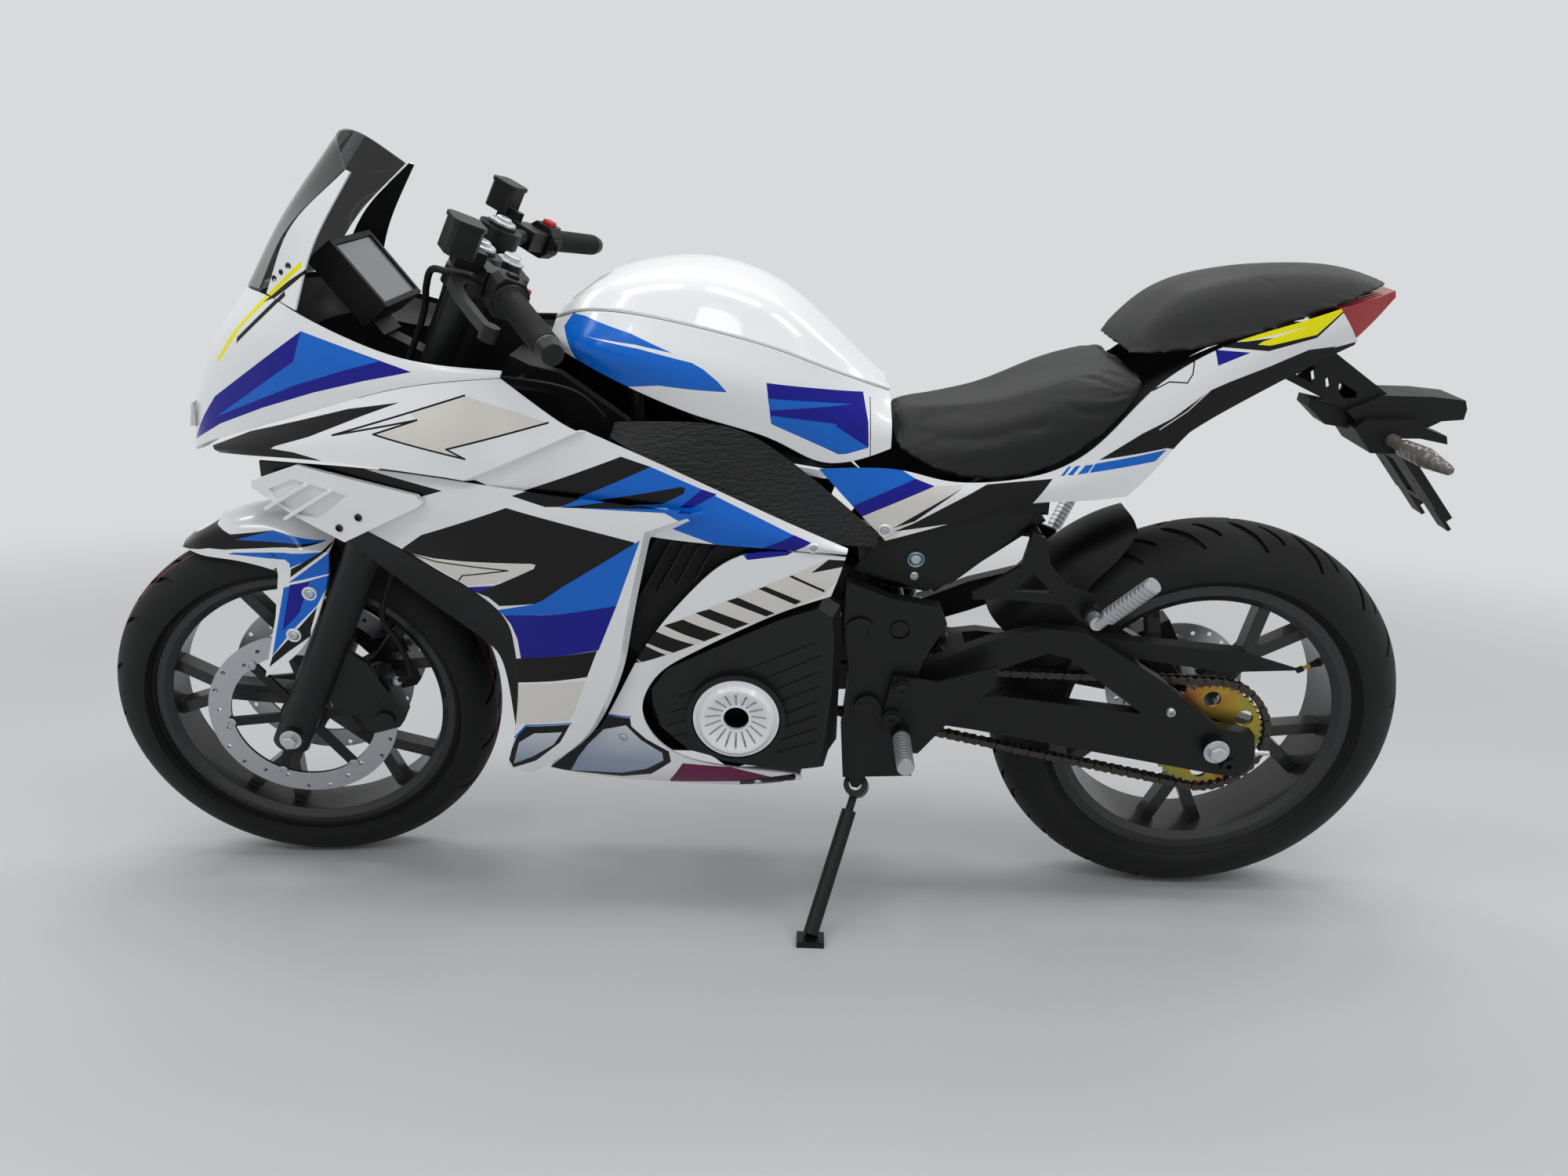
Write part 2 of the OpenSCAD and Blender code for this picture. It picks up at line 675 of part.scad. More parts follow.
module swingarm() {
    color("#2a2b2d")
    park()
    difference() {
        union() {
            both() {
                slab(102, 124)
                polygon([[-152, 404], [-262, 437], [-349, 476], [-431, 500], [-488, 493], [-606, 421],
                    [-700, 346], [-755, 336], [-762, 300], [-755, 276], [-740, 262], [-690, 270], [-339, 331],
                    [-152, 356], [-276, 397], [-354, 425], [-436, 460], [-465, 454], [-566, 380], [-583, 366],
                    [-369, 389], [-330, 383]],
                    [[0, 1, 2, 3, 4, 5, 6, 7, 8, 9, 10, 11, 12, 13], [14, 15, 16, 17, 18, 19, 20, 21]]);
                pin(xr, rear_r, 91, 104, 14);
                pin(-724, 284, 122, 131, 11);
                pin(xr, rear_r, 122, 136, 16);
                pin(-460, 480, 77.5, 104, 6);
            }
            pin(pivot[0], pivot[2], -127.5, 127.5, 21);
            translate([-345, -103, 345]) cube([45, 206, 40]);
            pin(xr, rear_r, -138, 138, axle_r);
        }
        pin(pivot[0], pivot[2], -130, 130, 10 + fit);
        both() pin(-724, 284, 111, 132, 4);
    }
}

// moulded rear mudguard: ribs of angle round the axle, half width and height over the tyre
function over_tyre(a, y, h) = [xr + (rear_r + h)*cos(a), y, rear_r + (rear_r + h)*sin(a)];
hug_top = [over_tyre(26, 0, 58), over_tyre(39, 0, 52), over_tyre(52, 0, 51), over_tyre(61, 0, 49),
    over_tyre(66, 0, 46)];
hug_mid = [over_tyre(26, 44, 54), over_tyre(39, 44, 48), over_tyre(52, 44, 47), over_tyre(61, 42, 45),
    over_tyre(66.6, 40, 42)];
hug_crease = [over_tyre(26, 68, 40), over_tyre(39, 68, 32), over_tyre(52, 66, 26), over_tyre(61, 64, 26),
    over_tyre(66, 58, 26)];
hug_low = [over_tyre(27, 78, -34), over_tyre(38, 78, -34), over_tyre(48, 77, -7), over_tyre(57, 74, 2),
    over_tyre(63, 64, 14)];

module rear_hugger() {
    color("#1a1b1d")
    park()
    panel(skin([mirrored(hug_low), mirrored(hug_crease), mirrored(hug_mid), hug_top, hug_mid, hug_crease, hug_low],
        span_u, 1), wall);
}

module chain_guard() {
    color("#1b1c1e")
    park()
    union() {
        slab(99, 101.6)
        polygon([[-500, 478], [-557, 472], [-730, 459], [-815, 434], [-700, 427], [-607, 440], [-520, 452]]);
        slab(77, 100)
        polygon([[-506, 474.5], [-557, 469], [-730, 456], [-730, 459], [-557, 472], [-506, 478]]);
    }
}

// drive chain: two straight runs and two wraps, with the waist of each link in its outline
pitch_r = sprocket_d/2;
drive_r = 31;
span = norm([drive_x - xr, drive_z - rear_r]);
tilt = atan2(drive_z - rear_r, drive_x - xr);
open = asin((pitch_r - drive_r)/span);
reach = span*cos(open);
wrap_r = pitch_r*PI*(180 + 2*open)/180;
wrap_d = drive_r*PI*(180 - 2*open)/180;
loop = 2*reach + wrap_r + wrap_d;
links = round(loop/12.7);
function loop_at(s) =
    s < reach ? let (a = tilt + 90 - open)
        concat([xr, rear_r] + pitch_r*[cos(a), sin(a)] + s*[cos(a - 90), sin(a - 90)], a) :
    s < reach + wrap_d ? let (a = tilt + 90 - open - (s - reach)/drive_r*180/PI)
        concat([drive_x, drive_z] + drive_r*[cos(a), sin(a)], a) :
    s < 2*reach + wrap_d ? let (a = tilt - 90 + open, d = s - reach - wrap_d)
        concat([drive_x, drive_z] + drive_r*[cos(a), sin(a)] + d*[cos(a - 90), sin(a - 90)], a) :
    let (a = tilt - 90 + open - (s - 2*reach - wrap_d)/pitch_r*180/PI)
        concat([xr, rear_r] + pitch_r*[cos(a), sin(a)], a);
function loop_edge(side) = [for (i = [0:2*links - 1]) let (p = loop_at(i*loop/links/2), h = i%2 == 0 ? 5.6 : 4)
    [p[0], p[1]] + side*h*[cos(p[2]), sin(p[2])]];

module chain() {
    color("#55575a")
    park()
    slab(chain_y - 8, chain_y + 8)
    polygon(concat(loop_edge(1), loop_edge(-1)),
        [[for (i = [0:2*links - 1]) i], [for (i = [0:2*links - 1]) 2*links + i]]);
}

module rear_caliper() {
    color("#202123")
    park()
    difference() {
        at_axle(xr, rear_r)
        rotate([0, 0, -62])
        translate([rear_disc_d/2 - 40, -32, -101.6]) cube([52, 64, 40]);
        at_axle(xr, rear_r) translate([0, 0, -86]) cylinder(h = 12, r = rear_disc_d/2 + 6);
    }
}

module rear_shock() {
    color("#3c3e42")
    park()
    union() {
        rod([-213.4, 0, 507.2], [-301.2, 0, 386.4], 12);
        rod([-226, 0, 490], [-280, 0, 416], 30);
    }
}

// Footrests

module foot_brackets() {
    color("#202123")
    park()
    both() {
        union() {
            slab(158.4, 164)
            polygon([[-212, 436], [-275, 428], [-358, 456], [-354, 420], [-301, 371], [-255, 311], [-232, 312],
                [-205, 340], [-200, 372]]);
            pin(-224, 420, 150.5, 172, 12);
            pin(-213, 372, 150.5, 172, 13);
            pin(-228, 345, 160, 180, 14);
        }
        difference() {
            union() {
                slab(132, 141)
                polygon([[-391, 650], [-410, 642], [-420, 604], [-449, 572], [-487, 558], [-492, 520],
                    [-470, 520], [-445, 545], [-360, 550], [-318, 548], [-316, 560], [-339, 573], [-380, 600]]);
                pin(-484, 534, 136, 158, 14);
            }
            slab(130, 143)
            polygon([[-398, 590], [-428, 562], [-372, 562]]);
        }
    }
}

// toothed footpegs, the pillion's folded up
function peg_teeth(n, d, r) = [for (k = [0:n - 1]) each [[r, k*d], [r, k*d + d*0.6], [r - 1.6, k*d + d*0.6],
    [r - 1.6, k*d + d]]];

module peg(n, d, r) {
    rotate_extrude()
    polygon(concat([[0, 0]], peg_teeth(n, d, r), [[r, n*d], [r - 1, n*d + 4], [0, n*d + 4]]));
}

module footpegs() {
    color("#c8cacc")
    park()
    both() {
        translate([-228, 180.4, 345]) rotate([-90, 0, 0]) peg(10, 7.6, 12.5);
        pin(-484, 534, 158.4, 180, 10);
        rod([-486, 174, 531], [-500, 187.5, 553.5], 8.5);
        translate([-496, 184, 547])
        rotate([0, acos(82/norm([-52, 50, 82])), atan2(50, -52)]) peg(11, 7.6, 12);
    }
}

// Steered end

module fork_upper() {
    color("#2a2b2d")
    park()
    fork()
    union() {
        both() translate([0, fork_spacing/2, 430.4]) cylinder(h = tube_top - 430.4, r = tube_d/2);
        translate([0, 0, 500]) linear_extrude(30) clamp_outline(36);
        translate([0, 0, 735]) linear_extrude(24) clamp_outline(32);
        translate([-fork_offset, 0, 500]) cylinder(h = 260, r = 16);
        translate([-fork_offset, 0, 758]) cylinder(h = 14, r = 17);
    }
}

module clamp_outline(r) {
    for (s = [-1, 1])
        translate([0, s*fork_spacing/2]) circle(r);
    translate([-fork_offset, 0]) circle(r);
    polygon([[r - 6, -fork_spacing/2], [r - 10, 0], [r - 6, fork_spacing/2], [-r + 6, fork_spacing/2],
        [-fork_offset - r + 4, 12], [-fork_offset - r + 4, -12], [-r + 6, -fork_spacing/2]]);
}

module fork_lowers() {
    color("#1f2022")
    park()
    fork()
    union() {
        both() {
            translate([0, fork_spacing/2, -27]) cylinder(h = 457, r = slider_d/2);
            translate([0, fork_spacing/2, 404]) cylinder(h = 26, r = slider_d/2 + 3);
            pin(0, 0, 121, 132, 18);
            pin(0, 0, 47, 76, 15);
            slab(84.6, 94)
            polygon([[-10, 70], [-60, 46], [-84, 66], [-104, 110], [-60, 146], [-10, 160]]);
            pin(52, 214, 96, 104.5, 12);
            translate([0, 96, 204]) cube([50, 8, 20]);
        }
        pin(0, 0, -132, 132, spindle_r);
    }
}

// two-piston calipers over the discs
module front_calipers() {
    color("#2b2c2f")
    park()
    fork()
    both()
    rotate([0, -50, 0])
    difference() {
        union() {
            slab(44, 84)
            polygon([[-50, 100], [-38, 88], [38, 88], [50, 100], [50, 140], [40, 152], [-40, 152], [-50, 140]]);
            pin(-31, 124, 82, 90, 15);
        }
        pin(0, 0, 56, 68, front_disc_d/2 + 5);
    }
}

// front fender: angle round the axle, half width and height over the tyre; the leg shields hang from the fork
function over_front(a, y, h) = [(front_r + h)*cos(a), y, (front_r + h)*sin(a)];
fender_top = [over_front(61, 0, 16), over_front(69, 0, 27), over_front(79, 0, 34), over_front(88, 0, 36),
    over_front(96, 0, 38), over_front(102, 0, 38), over_front(107, 0, 36)];
fender_arch = [over_front(61.4, 14, 14), over_front(69, 38, 20), over_front(79, 46, 25), over_front(88, 50, 28),
    over_front(96, 54, 32), over_front(102, 55, 31), over_front(107, 56, 29)];
fender_side = [[144, 18, 272], [106, 48, 279], [52, 64, 285], [-8, 82, 292], [-50, 99, 297], [-74, 102, 297],
    [-92, 104, 294]];
fender_low = [[142, 20, 270], [104, 50, 268], [48, 68, 268], [-22, 92, 258], [24, 117, 101], [-46, 120, 156],
    [-88, 112, 259]];

module front_fender() {
    color("#f4f5f6")
    park()
    fork()
    rotate([0, rake, 0])
    panel(skin([mirrored(fender_low), mirrored(fender_side), mirrored(fender_arch), fender_top, fender_arch,
        fender_side, fender_low], span_u, 2, [3, 4], [1, 5]), wall);
}

module clip_ons() {
    color("#202123")
    park()
    fork()
    both()
    difference() {
        union() {
            translate([0, fork_spacing/2, 766]) cylinder(h = 24, r = 31);
            bar_frame() rotate([0, 90, 0]) cylinder(h = 258, r = 11);
            bar_frame() translate([252, 0, 0]) rotate([0, 90, 0]) cylinder(h = 6, r = 16);
            bar_frame() translate([257, 0, 0]) rotate([0, 90, 0]) cylinder(h = 15, r1 = 16, r2 = 13);
        }
        translate([0, fork_spacing/2, 760]) cylinder(h = 40, r = tube_d/2 + 0.3);
    }
}

// local x runs out along the bar, local -y points forward
module bar_frame() {
    translate([-13, fork_spacing/2 + 24, 778])
    rotate([0, 0, 116])
    children();
}

module grips() {
    color("#161719")
    park()
    fork()
    both()
    bar_frame()
    rotate([0, 90, 0])
    difference() {
        union() {
            translate([0, 0, 118]) cylinder(h = 133, r = 16);
            translate([0, 0, 116]) cylinder(h = 8, r = 21);
        }
        translate([0, 0, 100]) cylinder(h = 170, r = 11.3);
    }
}

module levers() {
    color("#8d9093")
    park()
    fork()
    both()
    bar_frame()
    union() {
        translate([52, -48, -15]) cube([34, 23.6, 12]);
        translate([0, 0, -15])
        linear_extrude(12)
        polygon([[58, -48], [66, -58], [84, -66], [110, -70], [140, -71], [190, -69], [232, -66], [234, -56],
            [190, -58], [140, -60], [110, -57], [96, -51], [80, -40]]);
        translate([234, -61, -18]) cylinder(h = 18, r = 10);
    }
}

// master cylinders clamped to the bars, each under a square reservoir
module reservoirs() {
    color("#1b1c1e")
    park()
    fork()
    both()
    bar_frame()
    difference() {
        union() {
            translate([38, -24, -15]) cube([40, 40, 30]);
            translate([30, -76, 16])
            linear_extrude(38)
            polygon([[5, 0], [35, 0], [40, 5], [40, 33], [35, 38], [5, 38], [0, 33], [0, 5]]);
            translate([28, -78, 54])
            linear_extrude(6)
            polygon([[6, 0], [38, 0], [44, 6], [44, 36], [38, 42], [6, 42], [0, 36], [0, 6]]);
            translate([40, -56, 2]) cube([14, 36, 26]);
        }
        rotate([0, 90, 0]) cylinder(h = 200, r = 11.3);
    }
}

module switch_pods() {
    color("#18191b")
    park()
    fork()
    both()
    bar_frame()
    difference() {
        union() {
            translate([82, 0, 0])
            rotate([90, 0, 90])
            linear_extrude(32)
            polygon([[-22, -14], [-12, -26], [12, -26], [22, -14], [22, 14], [12, 24], [-14, 24], [-22, 14]]);
            translate([86, 20, -8]) cube([22, 6, 18]);
        }
        rotate([0, 90, 0]) cylinder(h = 200, r = 11.3);
    }
}

// Brake hoses

function ring_at(p, i, r) = let (d = unit(at(p, i + 1) - at(p, i - 1)), u = unit(cross(d, [0, 1, 0])),
    v = cross(d, u)) [for (k = [0:7]) p[i] + r*(cos(k*45)*u + sin(k*45)*v)];

// a round cord through its points
module cord(p, r) {
    n = len(p);
    points = concat([for (i = [0:n - 1]) each ring_at(p, i, r)]);
    faces = concat(
        [for (i = [0:n - 2]) for (k = [0:7]) each let (a = i*8 + k, b = i*8 + (k + 1)%8)
            [[a, b, b + 8], [a, b + 8, a + 8]]],
        [[for (k = [7:-1:0]) k], [for (k = [0:7]) (n - 1)*8 + k]]);
    polyhedron(points, faces, convexity = 8);
}

// from each master cylinder down past the lower clamp to the caliper
module brake_hoses() {
    color("#141517")
    park()
    fork()
    both()
    cord(curve(hose_route, 1), hose_r);
}

// Wheels

module tyre(r, w, bead) {
    c = w/2;
    rotate_extrude(convexity = 4)
    union() {
        intersection() {
            translate([r - c, 0]) circle(c);
            translate([r - c - 2, -c - 1]) square([c + 4, w + 2]);
        }
        polygon([[rim_r + 0.3, -bead], [rim_r + 12.8, -bead], [rim_r + 12.8, -c*0.86], [r - c - 1, -c + 0.05],
            [r - c - 1, c - 0.05], [rim_r + 12.8, c*0.86], [rim_r + 12.8, bead], [rim_r + 0.3, bead]]);
    }
}

module bar2(p, q, w) {
    d = q - p;
    translate(p) rotate(atan2(d[1], d[0])) translate([0, -w/2]) square([norm(d), w]);
}

module cast_rim(bead, hub_r, a, b, bore) {
    o = bead + 8.4;
    difference() {
        union() {
            rotate_extrude(convexity = 4)
            polygon([[rim_r - 15, -o + 8], [rim_r - 4, -o], [rim_r + 12.2, -o], [rim_r + 12.2, -o + 8], [rim_r, -o + 8],
                [rim_r, o - 8], [rim_r + 12.2, o - 8], [rim_r + 12.2, o], [rim_r - 4, o], [rim_r - 15, o - 8]]);
            translate([0, 0, a]) cylinder(h = b - a, r = hub_r);
            translate([0, 0, -13])
            linear_extrude(26)
            for (k = [0:4])
                rotate(k*72 + 18) {
                    bar2([hub_r - 8, 0], [128, 0], 30);
                    bar2([116, 0], [rim_r - 8, 44], 19);
                    bar2([116, 0], [rim_r - 8, -44], 19);
                }
        }
        translate([0, 0, a - 1]) cylinder(h = b - a + 2, r = bore);
    }
}

module front_place() {
    park()
    fork()
    rotate([-90, 0, 0])
    children();
}

module rear_place() {
    park()
    at_axle(xr, rear_r)
    children();
}

module front_tyre() {
    color("#1d1e20")
    front_place()
    tyre(front_r, front_w, 31);
}

module front_rim() {
    color("#222326")
    front_place()
    cast_rim(31, 36, -46.6, 46.6, spindle_r + fit);
}

// drilled ring on a carrier with six arms; the seat reaches back to the hub
module brake_disc(d, t, seat) {
    difference() {
        cylinder(h = t, r = d/2, center = true);
        cylinder(h = t + 2, r = d/2 - 33, center = true);
        for (k = [0:5])
            for (j = [0:3])
                rotate(k*60 + j*15 + 4)
                translate([d/2 - 8 - 8*(j%3), 0, 0]) cylinder(h = t + 2, r = 3.6, center = true);
    }
    difference() {
        union() {
            translate([0, 0, -t/2 - 0.5])
            linear_extrude(t + 1)
            for (k = [0:5])
                rotate(k*60 + 30) bar2([24, 0], [d/2 - 28, 0], 15);
            translate([0, 0, -seat]) cylinder(h = seat + t/2, r = 35);
        }
        translate([0, 0, -seat - 1]) cylinder(h = seat + t + 4, r = 21);
    }
}

module front_discs() {
    color("#b9bcbf")
    front_place()
    for (s = [0, 1])
        mirror([0, 0, s])
        translate([0, 0, 62]) brake_disc(front_disc_d, 4.5, 15);
}

module rear_tyre() {
    color("#1d1e20")
    rear_place()
    tyre(rear_r, rear_w, 46);
}

module rear_rim() {
    color("#222326")
    rear_place()
    cast_rim(46, 42, -70, 82.6, axle_r + fit);
}

module rear_sprocket() {
    color("#c9b27a")
    rear_place()
    difference() {
        translate([0, 0, chain_y - 3])
        linear_extrude(6)
        polygon([for (k = [0:4*sprocket_teeth - 1]) let (a = (k + 0.5)*90/sprocket_teeth,
            r = k%4 < 2 ? pitch_r - 6.3 : pitch_r - 10.5) r*[cos(a), sin(a)]]);
        translate([0, 0, chain_y - 10]) cylinder(h = 20, r = 30);
        for (k = [0:5])
            rotate(k*60 + 30) translate([61, 0, chain_y - 10]) cylinder(h = 20, r = 13);
    }
}

module rear_disc() {
    color("#b9bcbf")
    rear_place()
    mirror([0, 0, 1])
    translate([0, 0, 80]) brake_disc(rear_disc_d, 4.5, 9.6);
}

// Side stand

module side_stand() {
    color("#1c1d1f")
    park()
    difference() {
        union() {
            rod(stand_pivot, stand_pivot - hinge*12.8, 18);
            rod(stand_top, stand_root + (stand_end - stand_top)*0.02, 6);
            rod(stand_root, stand_end, 11);
            translate([0, 0, -shift[2]/cos(lean)])
            rotate([lean, 0, 0])
            translate([stand_foot[0] - 20, stand_foot[1] - 15, 0]) cube([40, 32, 9]);
        }
        rod(stand_pivot + hinge*4, stand_pivot - hinge*30, 6 + stand_fit);
    }
}

main_frame();
pivot_plates();
subframe();
battery_block();
motor_block();
motor_covers();
motor_caps();
upper_cowl();
windscreen();
headlamps();
cockpit_trim();
dash_housing();
dash_display();
upper_sides();
front_sides();
lower_sides();
side_vents();
inner_cowls();
winglets();
tank_body();
tank_cover();
knee_panels();
rider_seat();
pillion_seat();
tail_sides();
undertail();
tail_lamp();
plate_bracket();
rear_indicators();
side_plates();
swingarm();
rear_hugger();
chain_guard();
chain();
rear_caliper();
rear_shock();
foot_brackets();
footpegs();
fork_upper();
fork_lowers();
front_calipers();
front_fender();
clip_ons();
grips();
levers();
reservoirs();
switch_pods();
brake_hoses();
front_tyre();
front_rim();
front_discs();
rear_tyre();
rear_rim();
rear_sprocket();
rear_disc();
side_stand();
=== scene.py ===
import json
from math import asin, atan2, cos, hypot, pi, radians, sin

import bmesh
import bpy
from bpy.props import FloatProperty, FloatVectorProperty, IntProperty, PointerProperty
from mathutils import Matrix, Vector
from mathutils.bvhtree import BVHTree
from mathutils.geometry import interpolate_bezier


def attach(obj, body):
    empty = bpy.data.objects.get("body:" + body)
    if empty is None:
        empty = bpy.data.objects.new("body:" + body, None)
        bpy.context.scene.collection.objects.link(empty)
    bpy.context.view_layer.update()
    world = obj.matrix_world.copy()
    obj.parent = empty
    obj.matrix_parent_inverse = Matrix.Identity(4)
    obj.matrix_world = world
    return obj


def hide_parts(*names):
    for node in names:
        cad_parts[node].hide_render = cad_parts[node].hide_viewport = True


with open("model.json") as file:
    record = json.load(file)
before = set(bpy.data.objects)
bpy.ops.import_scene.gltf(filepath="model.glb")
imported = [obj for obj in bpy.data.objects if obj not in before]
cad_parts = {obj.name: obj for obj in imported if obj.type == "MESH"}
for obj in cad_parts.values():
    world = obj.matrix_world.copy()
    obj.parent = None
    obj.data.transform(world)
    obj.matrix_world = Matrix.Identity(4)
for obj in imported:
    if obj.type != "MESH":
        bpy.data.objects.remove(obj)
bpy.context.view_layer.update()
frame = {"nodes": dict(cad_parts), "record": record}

bl_info = {
    "name": "Electric sport motorcycle",
    "version": (1, 0, 0),
    "blender": (4, 5, 0),
    "location": "3D View > Sidebar > Motorcycle",
    "description": "Builds the finishes and fine parts of a parked electric sport motorcycle",
    "category": "Object",
}

NODES = frame["nodes"]
BODY_OF = {node: body for body, nodes in frame["record"]["behaviour"]["bodies"].items() for node in nodes}

# Frames: each takes millimetres of the upright machine, or of one of its parts, to the parked model in metres.
LEAN, RAKE, STEER = radians(10.8), radians(25.5), radians(7)
AXLE_X, FRONT_Z, REAR_Z, OFFSET = 697.5, 291.14, 314.0, 35.0
PARK = Matrix.Translation((0.0113, -0.170, 0.00108)) @ Matrix.Rotation(-LEAN, 4, "X") @ Matrix.Scale(0.001, 4)
FORK = (PARK @ Matrix.Translation((AXLE_X, 0, FRONT_Z)) @ Matrix.Rotation(-RAKE, 4, "Y")
        @ Matrix.Translation((-OFFSET, 0, 0)) @ Matrix.Rotation(STEER, 4, "Z") @ Matrix.Translation((OFFSET, 0, 0)))
STEERED = FORK @ Matrix.Rotation(RAKE, 4, "Y") @ Matrix.Translation((-AXLE_X, 0, -FRONT_Z))
REAR = PARK @ Matrix.Translation((-AXLE_X, 0, REAR_Z))
FLIP = Matrix.Scale(-1, 4, (0, 1, 0))
SIDES = (1, -1)  # left, right
BAR_ROOT, BAR_SWEEP = (-13, 124, 778), radians(116)


def bar_frame(side):
    """Frame of one handlebar: x out along the bar, -y forward."""
    mirror = Matrix.Identity(4) if side > 0 else FLIP
    return FORK @ mirror @ Matrix.Translation(BAR_ROOT) @ Matrix.Rotation(BAR_SWEEP, 4, "Z")


# Colours and finishes

def linear(code):
    """Linear RGBA of an sRGB hex colour."""
    values = [int(code[i:i + 2], 16) / 255 for i in (1, 3, 5)]
    return tuple(v / 12.92 if v <= 0.04045 else ((v + 0.055) / 1.055) ** 2.4 for v in values) + (1.0,)


def colour(name, code):
    return FloatVectorProperty(name=name, description=f"Colour of the {name.lower()}", subtype="COLOR", size=4,
                               min=0, max=1, default=linear(code))


class PaintColours(bpy.types.PropertyGroup):
    """Colours of the paint and of the films laid over it."""
    white: colour("White paint", "#eceef0")
    blue: colour("Blue film", "#0a68cf")
    navy: colour("Navy film", "#0a0c8e")
    black: colour("Black film", "#060607")
    yellow: colour("Yellow film", "#f4ee00")
    cream: colour("Cream film", "#dedbd4")
    silver: colour("Silver film", "#b4bfcc")
    maroon: colour("Maroon film", "#6a1446")


class FineSizes(bpy.types.PropertyGroup):
    """Sizes of the fine parts."""
    edge: FloatProperty(name="Panel edge", description="Rounding of the moulded panels' edges", default=0.0007,
                        min=0.0002, max=0.002, unit="LENGTH")
    groove: FloatProperty(name="Tread groove", description="Depth of the tyre grooves in millimetres", default=4.5,
                          min=1, max=7)
    front_pitches: IntProperty(name="Front tread pitches", description="Repeats of the tread round the front tyre",
                               default=20, min=8, max=40)
    rear_pitches: IntProperty(name="Rear tread pitches", description="Repeats of the tread round the rear tyre",
                              default=20, min=8, max=40)


class StageLook(bpy.types.PropertyGroup):
    """Floor and light around the machine."""
    floor: colour("Floor", "#c4c5c7")
    backdrop: colour("Backdrop", "#d9dadb")
    key: FloatProperty(name="Ceiling light", description="Power of each ceiling panel in watts", default=11, min=1,
                       max=200)


def node(tree, kind, links=None, **settings):
    """Adds a shader node; links maps its inputs to values or to other nodes' outputs."""
    made = tree.nodes.new(kind)
    for name, value in settings.items():
        setattr(made, name, value)
    for name, value in (links or {}).items():
        if isinstance(value, bpy.types.NodeSocket):
            tree.links.new(value, made.inputs[name])
        else:
            made.inputs[name].default_value = value
    return made


FINISHES = {}


def finish(name, base, build=None, **sockets):
    """A Principled material; build(tree, coordinates, shader) adds its grain, made once for each name."""
    if name in FINISHES:
        return FINISHES[name]
    made = bpy.data.materials.new(name)
    made.use_nodes = True
    tree = made.node_tree
    shader = tree.nodes["Principled BSDF"]
    shader.inputs["Base Color"].default_value = linear(base) if isinstance(base, str) else tuple(base)
    for socket, value in sockets.items():
        shader.inputs[socket.replace("_", " ").title().replace("Ior", "IOR")].default_value = value
    if build:
        build(tree, node(tree, "ShaderNodeTexCoord").outputs["Object"], shader)
    FINISHES[name] = made
    return made


def seen_direct(tree):
    """1 for rays of the camera and for those that mirrors and glass send on, 0 for the light that falls on things."""
    path = node(tree, "ShaderNodeLightPath")
    seen = node(tree, "ShaderNodeMath", {0: path.outputs["Is Camera Ray"], 1: path.outputs["Is Transmission Ray"]},
                operation="MAXIMUM")
    return node(tree, "ShaderNodeMath", {0: seen.outputs[0], 1: path.outputs["Is Glossy Ray"]},
                operation="MAXIMUM").outputs[0]


def noise(tree, at, scale, detail):
    return node(tree, "ShaderNodeTexNoise", {"Vector": at, "Scale": scale, "Detail": detail}).outputs["Fac"]


def worn(tree, shader, value, low, high):
    """Roughness that drifts from low to high with a value of 0 to 1."""
    drift = node(tree, "ShaderNodeMapRange", {"Value": value, "To Min": low, "To Max": high})
    tree.links.new(drift.outputs["Result"], shader.inputs["Roughness"])


def bumped(tree, shader, height, strength, distance):
    bump = node(tree, "ShaderNodeBump", {"Height": height, "Strength": strength, "Distance": distance})
    tree.links.new(bump.outputs["Normal"], shader.inputs["Normal"])


def orange_peel(tree, at, shader):
    # sprayed lacquer: waves of about 8 mm, and a few smudges in the gloss
    bumped(tree, shader, noise(tree, at, 120.0, 1.0), 0.03, 0.001)
    worn(tree, shader, noise(tree, at, 9.0, 3.0), 0.16, 0.3)


def moulded(tree, at, shader):
    # spark-eroded mould skin: pits of about 1.5 mm, drawn coarser than the real 0.3 mm so that they show
    bumped(tree, shader, noise(tree, at, 700.0, 2.0), 0.25, 0.0006)
    worn(tree, shader, noise(tree, at, 14.0, 4.0), 0.42, 0.62)


def rippled(tree, at, shader):
    # the knee panels' pressed ripple: short waves 5 mm apart lying along the machine
    place = node(tree, "ShaderNodeMapping", {"Vector": at, "Scale": (55.0, 60.0, 190.0)})
    wave = noise(tree, place.outputs["Vector"], 1.0, 1.0)
    band = node(tree, "ShaderNodeMath", {0: wave, 1: 14.0}, operation="MULTIPLY")
    fold = node(tree, "ShaderNodeMath", {0: band.outputs[0]}, operation="SINE")
    bumped(tree, shader, fold.outputs[0], 0.5, 0.0009)
    worn(tree, shader, noise(tree, at, 14.0, 4.0), 0.45, 0.62)


def powder(tree, at, shader):
    # powder coat: a fine leathery flow of 1 to 2 mm
    bumped(tree, shader, noise(tree, at, 420.0, 2.0), 0.12, 0.0005)
    worn(tree, shader, noise(tree, at, 11.0, 4.0), 0.34, 0.52)


def rubbery(tree, at, shader):
    # vulcanised rubber: chalky patches with a fine mould grain
    bumped(tree, shader, noise(tree, at, 500.0, 2.0), 0.15, 0.0006)
    worn(tree, shader, noise(tree, at, 10.0, 5.0), 0.5, 0.78)


def hide(tree, at, shader):
    # upholstery vinyl: pebbles of 2 to 3 mm
    cells = node(tree, "ShaderNodeTexVoronoi", {"Vector": at, "Scale": 420.0}, feature="DISTANCE_TO_EDGE")
    bumped(tree, shader, cells.outputs["Distance"], 0.35, 0.0009)
    worn(tree, shader, noise(tree, at, 12.0, 4.0), 0.42, 0.6)


